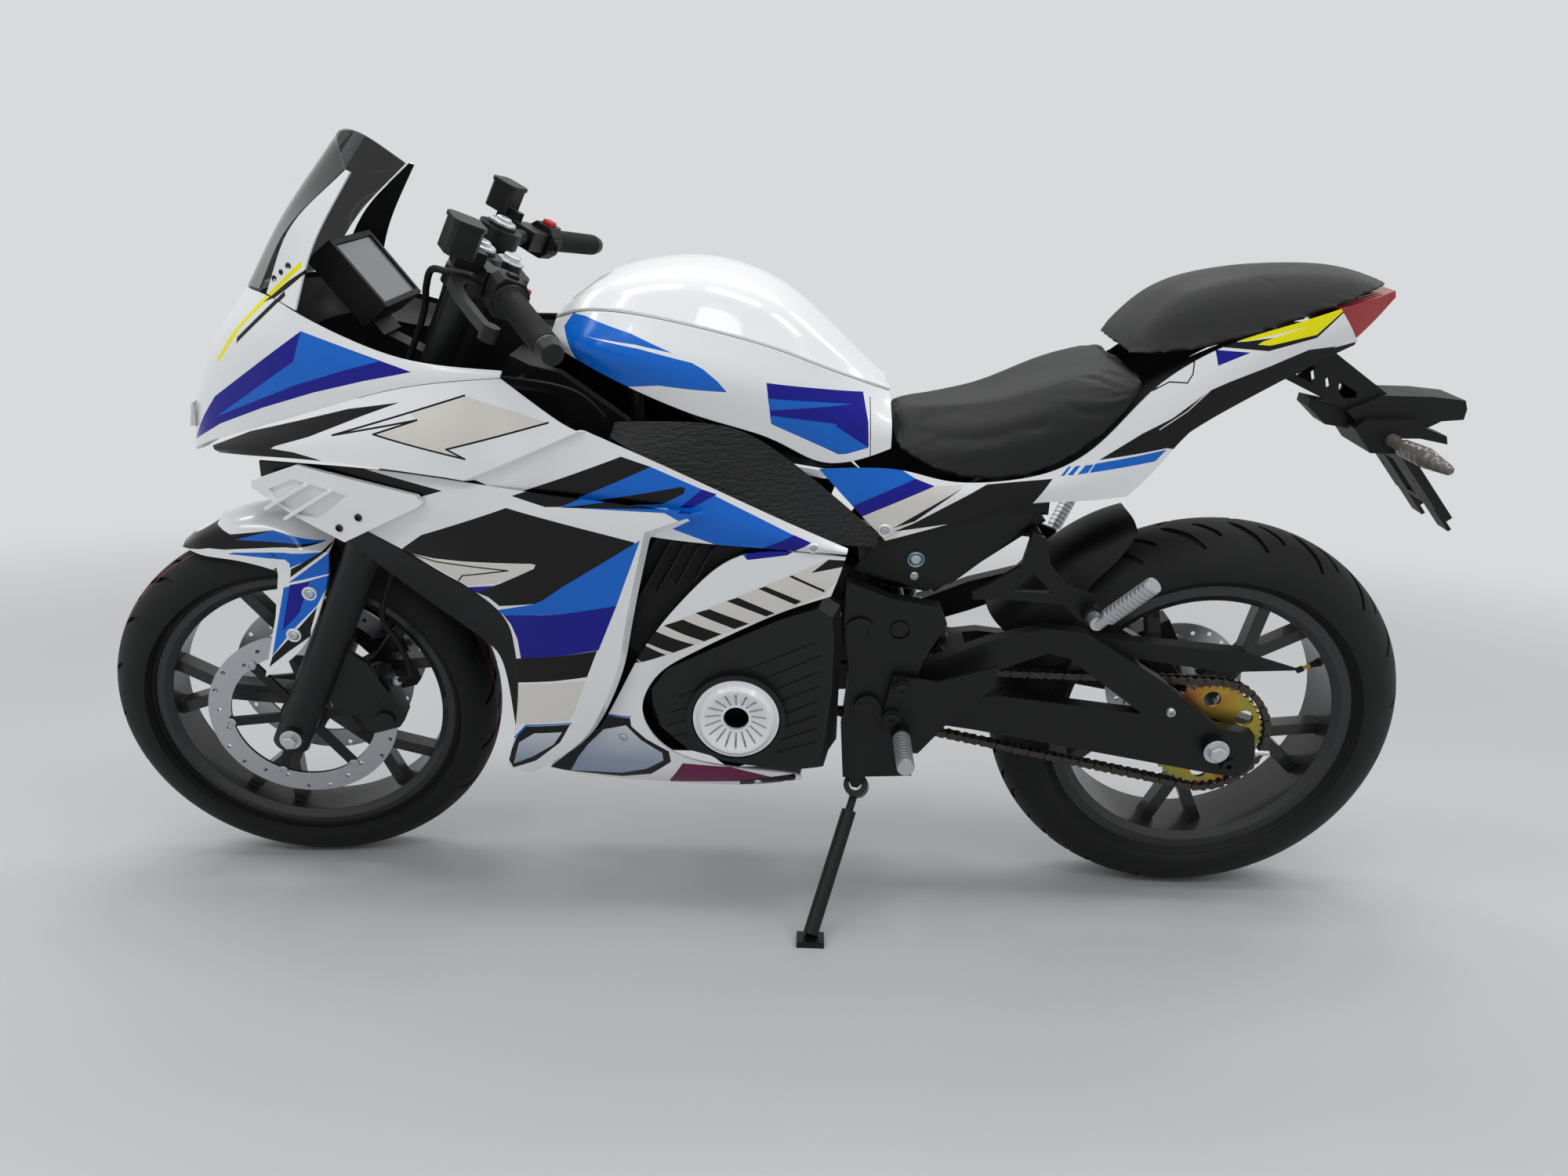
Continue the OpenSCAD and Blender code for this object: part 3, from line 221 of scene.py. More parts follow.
def zinc_tint(tree, at, shader):
    # yellow chromate over zinc: the passivated film drifts from straw to rose and green
    tint = node(tree, "ShaderNodeValToRGB", {"Fac": noise(tree, at, 9.0, 2.0)})
    tint.color_ramp.elements[0].color = linear("#b5853a")
    tint.color_ramp.elements[1].color = linear("#b98a52")
    for place, code in ((0.38, "#a8703c"), (0.48, "#b79a3e"), (0.55, "#8f9a4a"), (0.62, "#b07a5a")):
        tint.color_ramp.elements.new(place).color = linear(code)
    tree.links.new(tint.outputs["Color"], shader.inputs["Base Color"])


def ground(tree, at, shader):
    # ground disc faces: a fine grind of about 1 mm
    grind = noise(tree, at, 900.0, 1.0)
    bumped(tree, shader, grind, 0.1, 0.0003)
    worn(tree, shader, grind, 0.28, 0.44)


def film_shift(tree, at, shader):
    # silver film paler towards the top and blue-grey below: 90 mm of fade
    split = node(tree, "ShaderNodeSeparateXYZ", {"Vector": at})
    fade = node(tree, "ShaderNodeMapRange", {"Value": split.outputs["Z"], "From Min": 0.25, "From Max": 0.34})
    tint = node(tree, "ShaderNodeValToRGB", {"Fac": fade.outputs["Result"]})
    tint.color_ramp.elements[0].color = linear("#8f9db4")
    tint.color_ramp.elements[1].color = linear("#dfe3e6")
    tree.links.new(tint.outputs["Color"], shader.inputs["Base Color"])


def lens_ribs(tree, at, shader):
    # moulded lens optics: ribs about 10 mm apart across the lamp
    rib = node(tree, "ShaderNodeTexWave", {"Vector": at, "Scale": 32.0}, bands_direction="Y")
    bumped(tree, shader, rib.outputs["Fac"], 0.4, 0.001)


def paint_finishes():
    """Paint and films in slot order, with the bare plastic of the inner faces last."""
    paint = bpy.context.scene.bike_paint
    films = [finish("white_lacquer_on_abs", paint.white, orange_peel, coat_weight=0.5, coat_roughness=0.04)]
    for name in ("blue", "navy", "black", "yellow", "cream", "maroon"):
        films.append(finish(f"{name}_film_under_lacquer", getattr(paint, name), orange_peel, specular_ior_level=0.22,
                            coat_weight=0.12, coat_roughness=0.05))
    films.append(finish("silver_film_under_lacquer", paint.silver, film_shift, roughness=0.25, coat_weight=0.2))
    films.append(black_plastic())
    return films


SLOTS = {"white": 0, "blue": 1, "navy": 2, "black": 3, "yellow": 4, "cream": 5, "maroon": 6, "silver": 7, "bare": 8}


def black_plastic():
    return finish("moulded_black_abs", "#0d0e0f", moulded, specular_ior_level=0.3)


def ripple_plastic():
    return finish("rippled_black_abs", "#0e0f10", rippled, specular_ior_level=0.3)


def powder_black():
    return finish("powder_coated_steel", "#0c0d0e", powder, specular_ior_level=0.3)


def satin_black():
    return finish("satin_black_cast_aluminium", "#0e0f10", powder, specular_ior_level=0.35)


def tyre_rubber():
    return finish("tyre_rubber", "#0f1011", rubbery, specular_ior_level=0.3)


def steel():
    return finish("ground_stainless_steel", "#b9bcc0", ground, metallic=1.0)


def zinc():
    return finish("bright_zinc_plate", "#c9ccd0", powder, metallic=1.0)


def cast_silver():
    return finish("tumbled_aluminium", "#bfc2c5", powder, metallic=0.9)


def chain_steel():
    return finish("oiled_chain_steel", "#4a4641", powder, metallic=0.85)


def gold_zinc():
    return finish("yellow_chromate_zinc", "#c09a55", zinc_tint, metallic=0.9, roughness=0.34)


def seat_vinyl():
    return finish("upholstery_vinyl", "#0f1011", hide, specular_ior_level=0.35)


def red_plastic():
    return finish("red_moulded_abs", "#c4161c", moulded)


# Making pieces

FLAT = radians(0.4)  # faces closer than this to one plane are one flat face
BARE_SIDE = -0.35  # share of a panel face's normal that looks inward and leaves it unpainted
MARGIN = 0.5  # millimetres around a film's edge in which faces are cut


def copied(name, frame_matrix):
    """A bmesh of a CAD node, its loose triangles merged, in the millimetres of the frame given."""
    bm = bmesh.new()
    bm.from_mesh(NODES[name].data)
    bmesh.ops.remove_doubles(bm, verts=bm.verts, dist=2e-6)
    bm.transform(frame_matrix.inverted())
    return bm


def put(bm, name, body, finishes, frame_matrix=None, sharp=32, replaces=(), bevel=0.0, subdivide=0):
    """Closes a bmesh into a piece that rides on a body; sharp is the angle past which an edge stays crisp."""
    if frame_matrix is not None:
        bm.transform(frame_matrix)
        if frame_matrix.determinant() < 0:
            bmesh.ops.reverse_faces(bm, faces=bm.faces)
    bm.normal_update()
    for face in bm.faces:
        face.smooth = True
    for edge in bm.edges:
        edge.smooth = edge.is_manifold and edge.calc_face_angle(0) < radians(sharp)
    mesh = bpy.data.meshes.new(name)
    bm.to_mesh(mesh)
    bm.free()
    for made in finishes:
        mesh.materials.append(made)
    piece = bpy.data.objects.new(name, mesh)
    bpy.context.scene.collection.objects.link(piece)
    if bevel:
        turn = piece.modifiers.new("rounded_edges", "BEVEL")
        turn.width = bevel
        turn.segments = 2
        turn.limit_method = "ANGLE"
        turn.angle_limit = radians(sharp)
        turn.harden_normals = True
    if subdivide:
        fine = piece.modifiers.new("fine", "SUBSURF")
        fine.levels = fine.render_levels = subdivide
    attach(piece, body)
    if replaces:
        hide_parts(*replaces)
    return piece


def machined(name, made, bevel=0.0008, sharp=30):
    """A CAD node with its flat faces whole and its edges rounded, as a cast or turned part has."""
    bm = copied(name, PARK)
    bmesh.ops.dissolve_limit(bm, angle_limit=FLAT, verts=bm.verts, edges=bm.edges)
    return put(bm, f"{name}_finished", BODY_OF[name], [made], PARK, sharp, (name,), bevel)


def smoothed(bm, levels, sharp):
    """Subdivides the panel's grid, keeping edges past the angle crisp."""
    bmesh.ops.join_triangles(bm, faces=bm.faces, angle_face_threshold=radians(40),
                             angle_shape_threshold=radians(70))
    crease = bm.edges.layers.float.get("crease_edge") or bm.edges.layers.float.new("crease_edge")
    for edge in bm.edges:
        if edge.is_manifold and edge.calc_face_angle(0) > radians(sharp):
            edge[crease] = 1.0
    mesh = bpy.data.meshes.new("work")
    bm.to_mesh(mesh)
    work = bpy.data.objects.new("work", mesh)
    bpy.context.scene.collection.objects.link(work)
    fine = work.modifiers.new("fine", "SUBSURF")
    fine.levels = fine.render_levels = levels
    shaped = work.evaluated_get(bpy.context.evaluated_depsgraph_get()).to_mesh()
    bm.clear()
    bm.from_mesh(shaped)
    bpy.data.objects.remove(work)
    bpy.data.meshes.remove(mesh)


def skinned(name, piece, made, crease=40, bevel=0.0006):
    """A CAD node with its skin made smooth, all of one finish."""
    bm = copied(name, PARK)
    smoothed(bm, 2, crease)
    return put(bm, piece, BODY_OF[name], [made], PARK, 40, (name,), bevel)


def within(outline, x, z):
    """Whether a place in the side view lies inside an outline."""
    odd = False
    for (x1, z1), (x2, z2) in zip(outline, outline[1:] + outline[:1]):
        if (z1 > z) != (z2 > z) and x < (x2 - x1) * (z - z1) / (z2 - z1) + x1:
            odd = not odd
    return odd


def near(faces, low, high):
    """Faces whose box in x and z meets a box."""
    found = []
    for face in faces:
        xs = [v.co.x for v in face.verts]
        zs = [v.co.z for v in face.verts]
        if max(xs) > low[0] and min(xs) < high[0] and max(zs) > low[1] and min(zs) < high[1]:
            found.append(face)
    return found


def cut(bm, faces, start, end):
    """Cuts the faces along a line in the side view and returns them with the new ones."""
    geometry = set(faces)
    for face in faces:
        geometry.update(face.edges, face.verts)
    made = bmesh.ops.bisect_plane(bm, geom=list(geometry), dist=0.01, plane_co=(start[0], 0, start[1]),
                                  plane_no=(end[1] - start[1], 0, start[0] - end[0]))
    return [g for g in made["geom"] if isinstance(g, bmesh.types.BMFace)]


def lay_film(bm, outline, slot):
    """Cuts an outline of the side view into the panel and gives the faces inside it a film's slot."""
    low = (min(p[0] for p in outline), min(p[1] for p in outline))
    high = (max(p[0] for p in outline), max(p[1] for p in outline))
    area = near(bm.faces, low, high)
    for start, end in zip(outline, outline[1:] + outline[:1]):
        a = (min(start[0], end[0]) - MARGIN, min(start[1], end[1]) - MARGIN)
        b = (max(start[0], end[0]) + MARGIN, max(start[1], end[1]) + MARGIN)
        touched = near(area, a, b)
        if touched:
            rest = set(area) - set(touched)
            area = list(rest) + cut(bm, touched, start, end)
    for face in area:
        middle = face.calc_center_median()
        if face.material_index != SLOTS["bare"] and within(outline, middle.x, middle.z):
            face.material_index = slot


def band(points, width):
    """Outlines of a thin line of film along a run of points, one for each stretch."""
    outlines = []
    for (x1, z1), (x2, z2) in zip(points, points[1:]):
        length = hypot(x2 - x1, z2 - z1)
        ux, uz = (x2 - x1) / length * width / 2, (z2 - z1) / length * width / 2
        outlines.append([(x1 - ux + uz, z1 - uz - ux), (x2 + ux + uz, z2 + uz - ux), (x2 + ux - uz, z2 + uz + ux),
                         (x1 - ux - uz, z1 - uz + ux)])
    return outlines


def painted(name, films, frame_matrix=PARK, levels=2, crease=34, sharp=38):
    """A painted panel: the CAD node's skin made smooth, its films cut in, its inner face bare."""
    bm = copied(name, frame_matrix)
    smoothed(bm, levels, crease)
    bm.normal_update()
    for face in bm.faces:
        middle = face.calc_center_median()
        inward = face.normal.y * (1 if middle.y > 0 else -1)
        face.material_index = SLOTS["bare"] if inward < BARE_SIDE else SLOTS["white"]
    for film, width, outline in films:
        for part in (band(outline, width) if width else [outline]):
            lay_film(bm, part, SLOTS[film])
    return put(bm, f"{name}_painted", BODY_OF[name], paint_finishes(), frame_matrix, sharp, (name,),
               bpy.context.scene.bike_sizes.edge)


# Small parts

def landing(name, frame_matrix, x, z, side=1):
    """Where a line across the machine, coming from one side at x and z, first meets a node, and that face's normal."""
    bm = copied(name, frame_matrix)
    tree = BVHTree.FromBMesh(bm)
    bm.free()
    spot, normal = tree.ray_cast(Vector((x, 400 * side, z)), Vector((0, -side, 0)))[:2]
    if spot is None:
        raise RuntimeError(f"no face of {name} at x {x}, z {z}")
    return spot, normal


def aimed(at, out):
    """A frame at a point with its z along a direction."""
    return Matrix.Translation(at) @ Vector(out).to_track_quat("Z", "Y").to_matrix().to_4x4()


def added(bm, before):
    """Vertices made since a set of them was taken, with the edges and the faces on them."""
    verts = [v for v in bm.verts if v not in before]
    return (verts, list(dict.fromkeys(edge for vert in verts for edge in vert.link_edges)),
            list(dict.fromkeys(face for vert in verts for face in vert.link_faces)))


def turned(bm, at, out, profile, slot=0, steps=24):
    """Adds a turned part: a run of (radius, height) pairs spun round a direction."""
    before = set(bm.verts)
    verts = [bm.verts.new((r, 0, h)) for r, h in profile]
    edges = [bm.edges.new(pair) for pair in zip(verts, verts[1:])]
    bmesh.ops.spin(bm, geom=verts + edges, cent=(0, 0, 0), axis=(0, 0, 1), angle=2 * pi, steps=steps, use_merge=True,
                   use_duplicate=False)
    bmesh.ops.remove_doubles(bm, verts=added(bm, before)[0], dist=0.001)
    fresh, _, faces = added(bm, before)
    bmesh.ops.transform(bm, matrix=aimed(at, out), verts=fresh)
    bmesh.ops.recalc_face_normals(bm, faces=faces)
    for face in faces:
        face.material_index = slot


def screw(radius, height):
    """Profile of a round head with a socket, its foot 0.5 mm into what carries it."""
    return [(0, -0.5), (radius, -0.5), (radius, height * 0.65), (radius * 0.86, height), (radius * 0.56, height),
            (radius * 0.5, height * 0.3), (0, height * 0.3)]


def cup(radius, height):
    """Profile of a pressed cup washer with a round screw in it."""
    return [(0, -0.5), (radius, -0.5), (radius * 0.98, height * 0.6), (radius * 0.88, height),
            (radius * 0.74, height * 0.8), (radius * 0.62, 0.3), (0, 0.3)]


def hexagon(bm, at, out, radius, height, slot=0):
    """Adds a hexagon head with a washer under it and a crowned top."""
    turned(bm, at, out, [(0, -0.5), (radius * 1.45, -0.5), (radius * 1.45, 1.4), (radius * 1.38, 2), (0, 2)], slot)
    before = set(bm.verts)
    bmesh.ops.create_cone(bm, cap_ends=True, segments=6, radius1=radius, radius2=radius, depth=height)
    top = max(added(bm, before)[2], key=lambda face: face.calc_center_median().z)
    bmesh.ops.inset_individual(bm, faces=[top], thickness=radius * 0.2)
    for vert in top.verts:
        vert.co.z += radius * 0.12
    fresh, _, faces = added(bm, before)
    bmesh.ops.transform(bm, matrix=aimed(at, out) @ Matrix.Translation((0, 0, 2 + height / 2)), verts=fresh)
    for face in faces:
        face.material_index = slot


def coil(bm, start, end, ring, wire, turns, slot=0):
    """Adds a coil spring of round wire between two points, 20 steps to a turn."""
    start, end = Vector(start), Vector(end)
    before = set(bm.verts)
    made = bmesh.ops.create_circle(bm, segments=8, radius=wire, matrix=Matrix.Translation((ring, 0, 0))
                                   @ Matrix.Rotation(radians(90), 4, "X"))["verts"]
    edges = list({edge for vert in made for edge in vert.link_edges})
    steps = turns * 20
    bmesh.ops.spin(bm, geom=made + edges, cent=(0, 0, 0), axis=(0, 0, 1), angle=2 * pi * turns, steps=steps,
                   dvec=(0, 0, (end - start).length / steps), use_duplicate=False)
    rims = [edge for edge in added(bm, before)[1] if edge.is_boundary]
    bmesh.ops.holes_fill(bm, edges=rims, sides=8)
    fresh, _, faces = added(bm, before)
    bmesh.ops.recalc_face_normals(bm, faces=faces)
    bmesh.ops.transform(bm, matrix=aimed(start, end - start), verts=fresh)
    for face in faces:
        face.material_index = slot


def block(bm, low, high, slot, round_off):
    """Adds a block between two corners with its edges rounded."""
    size = Vector(high) - Vector(low)
    before = set(bm.verts)
    bmesh.ops.create_cube(bm, size=1, matrix=Matrix.Translation((Vector(low) + Vector(high)) / 2)
                          @ Matrix.Diagonal((*size, 1)))
    fresh, edges, _ = added(bm, before)
    bmesh.ops.bevel(bm, geom=fresh + edges, offset=round_off, segments=2, profile=0.5, affect="EDGES", material=-1)
    for face in added(bm, before)[2]:
        face.material_index = slot


# Films of the fairing: colour, line width (0 for a filled outline) and outline in x and z of the upright machine
COWL_FILMS = [
    ("navy", 0, [(776, 730), (746, 770), (720, 800), (567, 900), (416, 861), (483, 845), (557, 824), (638, 796),
                 (714, 765)]),
    ("blue", 0, [(567, 900), (459, 871), (510, 856), (586, 830), (636, 809), (719, 774), (582, 861)]),
    ("yellow", 0, [(714, 846), (678, 889), (631, 930), (563, 984), (562, 977), (613, 937), (662, 897), (706, 848)]),
    ("black", 0, [(626, 929), (586, 957), (557, 974), (558, 969), (585, 950), (606, 937)]),
    ("black", 0, [(671, 882), (591, 946), (590, 940), (673, 874)]),
]
SIDE_FILMS = [
    ("black", 0, [(740, 730), (663, 762), (506, 809), (432, 824), (483, 804), (564, 770), (617, 752), (624, 748),
                  (618, 746), (701, 718)]),
    ("black", 0, [(740, 730), (624, 748), (588, 748), (557, 744), (486, 732), (385, 714), (417, 703), (568, 720),
                  (674, 684)]),
    ("cream", 0, [(409, 805), (420, 814), (346, 838), (285, 822), (242, 809), (371, 772), (348, 761), (469, 783)]),
    ("black", 2.4, [(346, 838), (528, 776), (409, 805), (469, 783), (348, 761), (371, 772), (242, 809)]),
    ("cream", 0, [(454, 615), (386, 612), (305, 619), (270, 620), (276, 612), (316, 589), (373, 575), (411, 594)]),
    ("black", 2.0, [(449, 617), (408, 609), (308, 608), (374, 592), (387, 575)]),
    ("black", 0, [(460, 617), (453, 625), (423, 648), (301, 698), (138, 659), (137, 657), (234, 591), (263, 568),
                  (277, 560), (327, 550), (341, 562), (372, 572), (331, 581), (272, 614), (269, 620), (275, 621),
                  (368, 615), (411, 614), (456, 618)]),
    ("navy", 0, [(375, 573), (331, 582), (316, 589), (339, 576), (360, 566)]),
    ("blue", 0, [(130, 662), (165, 566), (237, 549), (279, 542), (323, 536), (331, 543), (277, 560), (263, 568),
                 (234, 591)]),
    ("navy", 0, [(323, 536), (272, 543), (237, 549), (165, 566), (193, 496), (246, 482), (305, 468), (307, 500),
                 (314, 523)]),
    ("black", 0, [(312, 468), (246, 482), (195, 495), (212, 451), (260, 439), (315, 428)]),
    ("cream", 0, [(316, 424), (214, 445), (236, 386), (245, 372), (325, 357)]),
    ("black", 0, [(309, 355), (243, 366), (261, 331), (302, 289), (340, 268), (345, 287), (326, 332)]),
    ("silver", 0, [(298, 344), (256, 351), (271, 326), (305, 298), (338, 277), (323, 323)]),
    ("blue", 2.5, [(328, 332), (308, 357), (242, 368)]),
    ("black", 0, [(293, 714), (154, 766), (117, 753), (231, 703), (250, 702)]),
    ("blue", 0, [(231, 703), (117, 753), (53, 723), (-65, 660), (-89, 649), (-58, 629), (-4, 624), (2, 632),
                 (91, 671), (68, 683), (98, 700)]),
    ("black", 0, [(231, 702), (183, 710), (79, 727), (74, 725), (76, 718), (104, 705)]),
    ("navy", 0, [(82, 700), (53, 723), (34, 716), (65, 700)]),
    ("navy", 0, [(-3, 630), (-66, 660), (-89, 649), (-58, 629), (-5, 623)]),
]
ARM_FILMS = [
    ("black", 0, [(221, 357), (199, 370), (160, 372), (159, 357), (139, 335), (107, 313), (105, 291), (137, 260),
                  (182, 248), (268, 253), (294, 258), (255, 294)]),
    ("silver", 0, [(227, 312), (201, 344), (167, 358), (146, 332), (117, 309), (116, 293), (143, 272), (182, 258),
                   (259, 254), (244, 286)]),
    ("blue", 2.5, [(222, 357), (199, 371), (160, 374)]),
    ("maroon", 0, [(110, 246), (88, 289), (18, 284), (-75, 251), (-79, 266), (-15, 251), (110, 240)]),
    ("black", 0, [(5, 253), (-75, 270), (-79, 265), (-56, 249), (5, 238)]),
    ("cream", 0, [(159, 462), (137, 499), (118, 520), (98, 531), (-61, 601), (-113, 623), (-139, 620), (-129, 598),
                  (-110, 572), (-44, 539), (29, 510), (97, 481), (140, 467)]),
    ("black", 0, [(159, 461), (153, 473), (141, 467)]),
    ("black", 0, [(152, 475), (138, 496), (105, 480), (139, 467)]),
    ("black", 0, [(136, 500), (119, 517), (66, 495), (95, 483)]),
    ("black", 0, [(107, 526), (81, 536), (29, 511), (53, 500)]),
    ("black", 0, [(64, 546), (45, 552), (-8, 527), (12, 519)]),
    ("black", 0, [(22, 564), (7, 569), (-43, 543), (-31, 538)]),
    ("black", 0, [(-20, 582), (-30, 585), (-79, 561), (-70, 556)]),
    ("black", 0, [(-61, 599), (-65, 601), (-110, 578), (-108, 575)]),
    ("black", 0, [(-90, 604), (-113, 622), (-139, 620), (-134, 612)]),
]
TANK_FILMS = [
    ("blue", 0, [(243, 905), (231, 922), (210, 922), (149, 907), (94, 885), (70, 874), (55, 866), (37, 851),
                 (25, 837), (70, 840), (112, 844), (203, 835)]),
    ("white", 0, [(207, 900), (142, 894), (94, 885), (70, 874), (136, 889)]),
    ("navy", 0, [(-25, 848), (-153, 826), (-161, 789), (-163, 756), (-133, 747), (-122, 747), (-32, 793)]),
    ("blue", 0, [(-27, 828), (-140, 813), (-30, 812)]),
    ("blue", 0, [(-30, 805), (-113, 790), (-120, 788), (-116, 787), (-163, 755), (-133, 747), (-122, 748),
                 (-32, 793)]),
    ("black", 1.2, [(-163, 818), (-166, 740)]),
]
TAIL_FILMS = [
    ("blue", 0, [(-87, 727), (-179, 748), (-186, 741), (-228, 717), (-141, 675)]),
    ("navy", 0, [(-141, 675), (-228, 717), (-254, 708), (-154, 660)]),
    ("cream", 0, [(-154, 660), (-254, 708), (-294, 711), (-223, 654), (-197, 623)]),
    ("black", 0, [(-201, 646), (-293, 708), (-230, 657)]),
    ("black", 0, [(-230, 655), (-324, 713), (-410, 725), (-379, 674), (-202, 641)]),
    ("black", 0, [(-468, 753), (-520, 790), (-558, 811), (-603, 847), (-628, 858), (-681, 878), (-730, 899),
                  (-770, 903), (-712, 876), (-631, 826), (-569, 768), (-557, 770)]),
    ("cream", 1.6, [(-543, 796), (-577, 820), (-603, 847)]),
    ("black", 1.8, [(-512, 871), (-526, 882), (-577, 900), (-577, 868), (-571, 857), (-547, 858), (-524, 845)]),
    ("blue", 0, [(-464, 748), (-557, 768), (-544, 752), (-457, 735)]),
    ("blue", 0, [(-451, 745), (-462, 747), (-455, 735), (-442, 732)]),
    ("blue", 0, [(-438, 743), (-445, 745), (-436, 731), (-429, 731)]),
    ("blue", 0, [(-429, 742), (-433, 743), (-425, 730), (-420, 729)]),
    ("black", 0, [(-601, 907), (-644, 910), (-734, 923), (-776, 959), (-736, 915), (-674, 898), (-603, 903)]),
    ("yellow", 0, [(-608, 908), (-689, 935), (-773, 958), (-735, 919), (-675, 905), (-658, 906), (-664, 910),
                   (-720, 929), (-648, 911)]),
    ("navy", 0, [(-603, 899), (-650, 896), (-609, 879)]),
]
FENDER_FILMS = [
    ("black", 0, [(846, 568), (783, 602), (782, 600), (773, 599), (756, 594), (717, 600), (691, 604), (613, 595),
                  (765, 573), (791, 572), (838, 560)]),
    ("blue", 0, [(749, 588), (691, 604), (613, 595)]),
    ("blue", 0, [(762, 567), (753, 570), (609, 587), (665, 560), (665, 566), (672, 570), (696, 568)]),
    ("black", 0, [(604, 594), (606, 590), (666, 546), (664, 558)]),
    ("blue", 0, [(670, 538), (594, 594), (594, 588), (606, 556)]),
    ("blue", 0, [(678, 530), (607, 554), (608, 544), (631, 507), (671, 468), (707, 426)]),
    ("navy", 0, [(668, 535), (638, 543), (658, 495), (666, 486), (687, 466)]),
    ("black", 0, [(707, 425), (659, 475), (631, 505), (644, 471), (646, 460), (683, 433), (714, 408)]),
]


# Stage in metres: floor radius, where it fades to the backdrop, ceiling panels' size, rows and height
FLOOR, FADE, PANEL = 14, (1.7, 4.6), (1.1, 0.5)
PANEL_ROWS, PANEL_COLUMNS, CEILING = (-2.4, -0.8, 0.8, 2.4), (-1.2, 0.7, 2.6), 3.0
AMBIENT = 0.7  # share of the backdrop's brightness that lights the machine
# Camera: lens and sensor in millimetres, then yaw, pitch and roll, then place in metres
LENS, SENSOR = 25.709, 36
YAW, PITCH, ROLL = radians(0.733), radians(12.138), radians(1.508)
EYE = (-0.06195, 1.6014, 0.85128)


class BIKE_OT_stage(bpy.types.Operator):
    """Floor, ceiling panels, backdrop light and the camera"""
    bl_idname = "bike.stage"
    bl_label = "Stage"

    def execute(self, context):
        look = context.scene.bike_stage
        bm = bmesh.new()
        bmesh.ops.create_circle(bm, cap_ends=True, segments=96, radius=FLOOR)
        mesh = bpy.data.meshes.new("floor")
        bm.to_mesh(mesh)
        bm.free()
        floor = bpy.data.objects.new("floor", mesh)
        context.scene.collection.objects.link(floor)
        # painted screed: matt, with a faint cloud, fading into the backdrop away from the machine
        def screed(tree, at, shader):
            worn(tree, shader, noise(tree, at, 3.0, 5.0), 0.62, 0.75)
            away = node(tree, "ShaderNodeVectorMath", {0: at}, operation="LENGTH")
            fade = node(tree, "ShaderNodeMapRange", {"Value": away.outputs["Value"], "From Min": FADE[0],
                                                     "From Max": FADE[1]}, interpolation_type="SMOOTHSTEP")
            shown = node(tree, "ShaderNodeMath", {0: fade.outputs["Result"], 1: seen_direct(tree)},
                         operation="MULTIPLY")
            glow = node(tree, "ShaderNodeEmission", {"Color": tuple(look.backdrop)})
            mixed = node(tree, "ShaderNodeMixShader", {0: shown.outputs[0], 1: shader.outputs[0], 2: glow.outputs[0]})
            tree.links.new(mixed.outputs[0], tree.nodes["Material Output"].inputs["Surface"])
        mesh.materials.append(finish("painted_screed", look.floor, screed, specular_ior_level=0.2))

        world = bpy.data.worlds.new("studio")
        context.scene.world = world
        world.use_nodes = True
        tree = world.node_tree
        level = node(tree, "ShaderNodeMapRange", {"Value": seen_direct(tree), "To Min": AMBIENT, "To Max": 1.0})
        back = tree.nodes["Background"]
        back.inputs["Color"].default_value = tuple(look.backdrop)
        tree.links.new(level.outputs["Result"], back.inputs["Strength"])

        for x in PANEL_ROWS:
            for y in PANEL_COLUMNS:
                lamp = bpy.data.lights.new("ceiling_panel", "AREA")
                lamp.shape = "RECTANGLE"
                lamp.size, lamp.size_y = PANEL
                lamp.energy = look.key
                hung = bpy.data.objects.new("ceiling_panel", lamp)
                hung.location = (x, y, CEILING)
                context.scene.collection.objects.link(hung)

        view = bpy.data.cameras.new("photo_view")
        view.sensor_width = SENSOR
        view.sensor_fit = "HORIZONTAL"
        view.lens = LENS
        view.clip_start = 0.05
        camera = bpy.data.objects.new("photo_view", view)
        ahead = Vector((sin(YAW) * cos(PITCH), -cos(YAW) * cos(PITCH), -sin(PITCH)))
        right = Vector((-cos(YAW), -sin(YAW), 0))
        up = right.cross(ahead)
        across = cos(ROLL) * right + sin(ROLL) * up
        above = -sin(ROLL) * right + cos(ROLL) * up
        turn = Matrix((across, above, -ahead)).transposed().to_4x4()
        camera.matrix_world = Matrix.Translation(EYE) @ turn
        context.scene.collection.objects.link(camera)
        context.scene.camera = camera
        context.scene.view_settings.view_transform = "Standard"
        return {"FINISHED"}


# Brake hose: places in millimetres of the fork's frame, from the master cylinder to the caliper, and size in metres
CALIPER_BOLT = (-108.5, 64, 116.5)
HOSE_ROUTE = [(-12.5, 165.1, 769.5), (-2, 147, 766), (24, 138, 756), (44, 114, 744), (46, 90, 715), (39, 74, 675),
              (37, 72, 600), (40, 66, 515), (28, 58, 470), (-8, 58, 425), (-36, 78, 370), (-44, 86, 300),
              (-54, 89, 230), (-90, 78, 190), (-121, 67, 142), CALIPER_BOLT]
HOSE_LENGTH, HOSE_DIAMETER = 0.779, 0.009


def eased(places, steps):
    """Points of one smooth line through a run of places."""
    knots = [Vector(place) for place in places]
    before, after = [knots[0]] + knots[:-1], knots[1:] + [knots[-1]]
    slopes = [(b - a) / 6 for a, b in zip(before, after)]
    line = [knots[0]]
    for k in range(len(knots) - 1):
        leave, arrive = knots[k] + slopes[k], knots[k + 1] - slopes[k + 1]
        line += interpolate_bezier(knots[k], leave, arrive, knots[k + 1], steps)[1:]
    return line


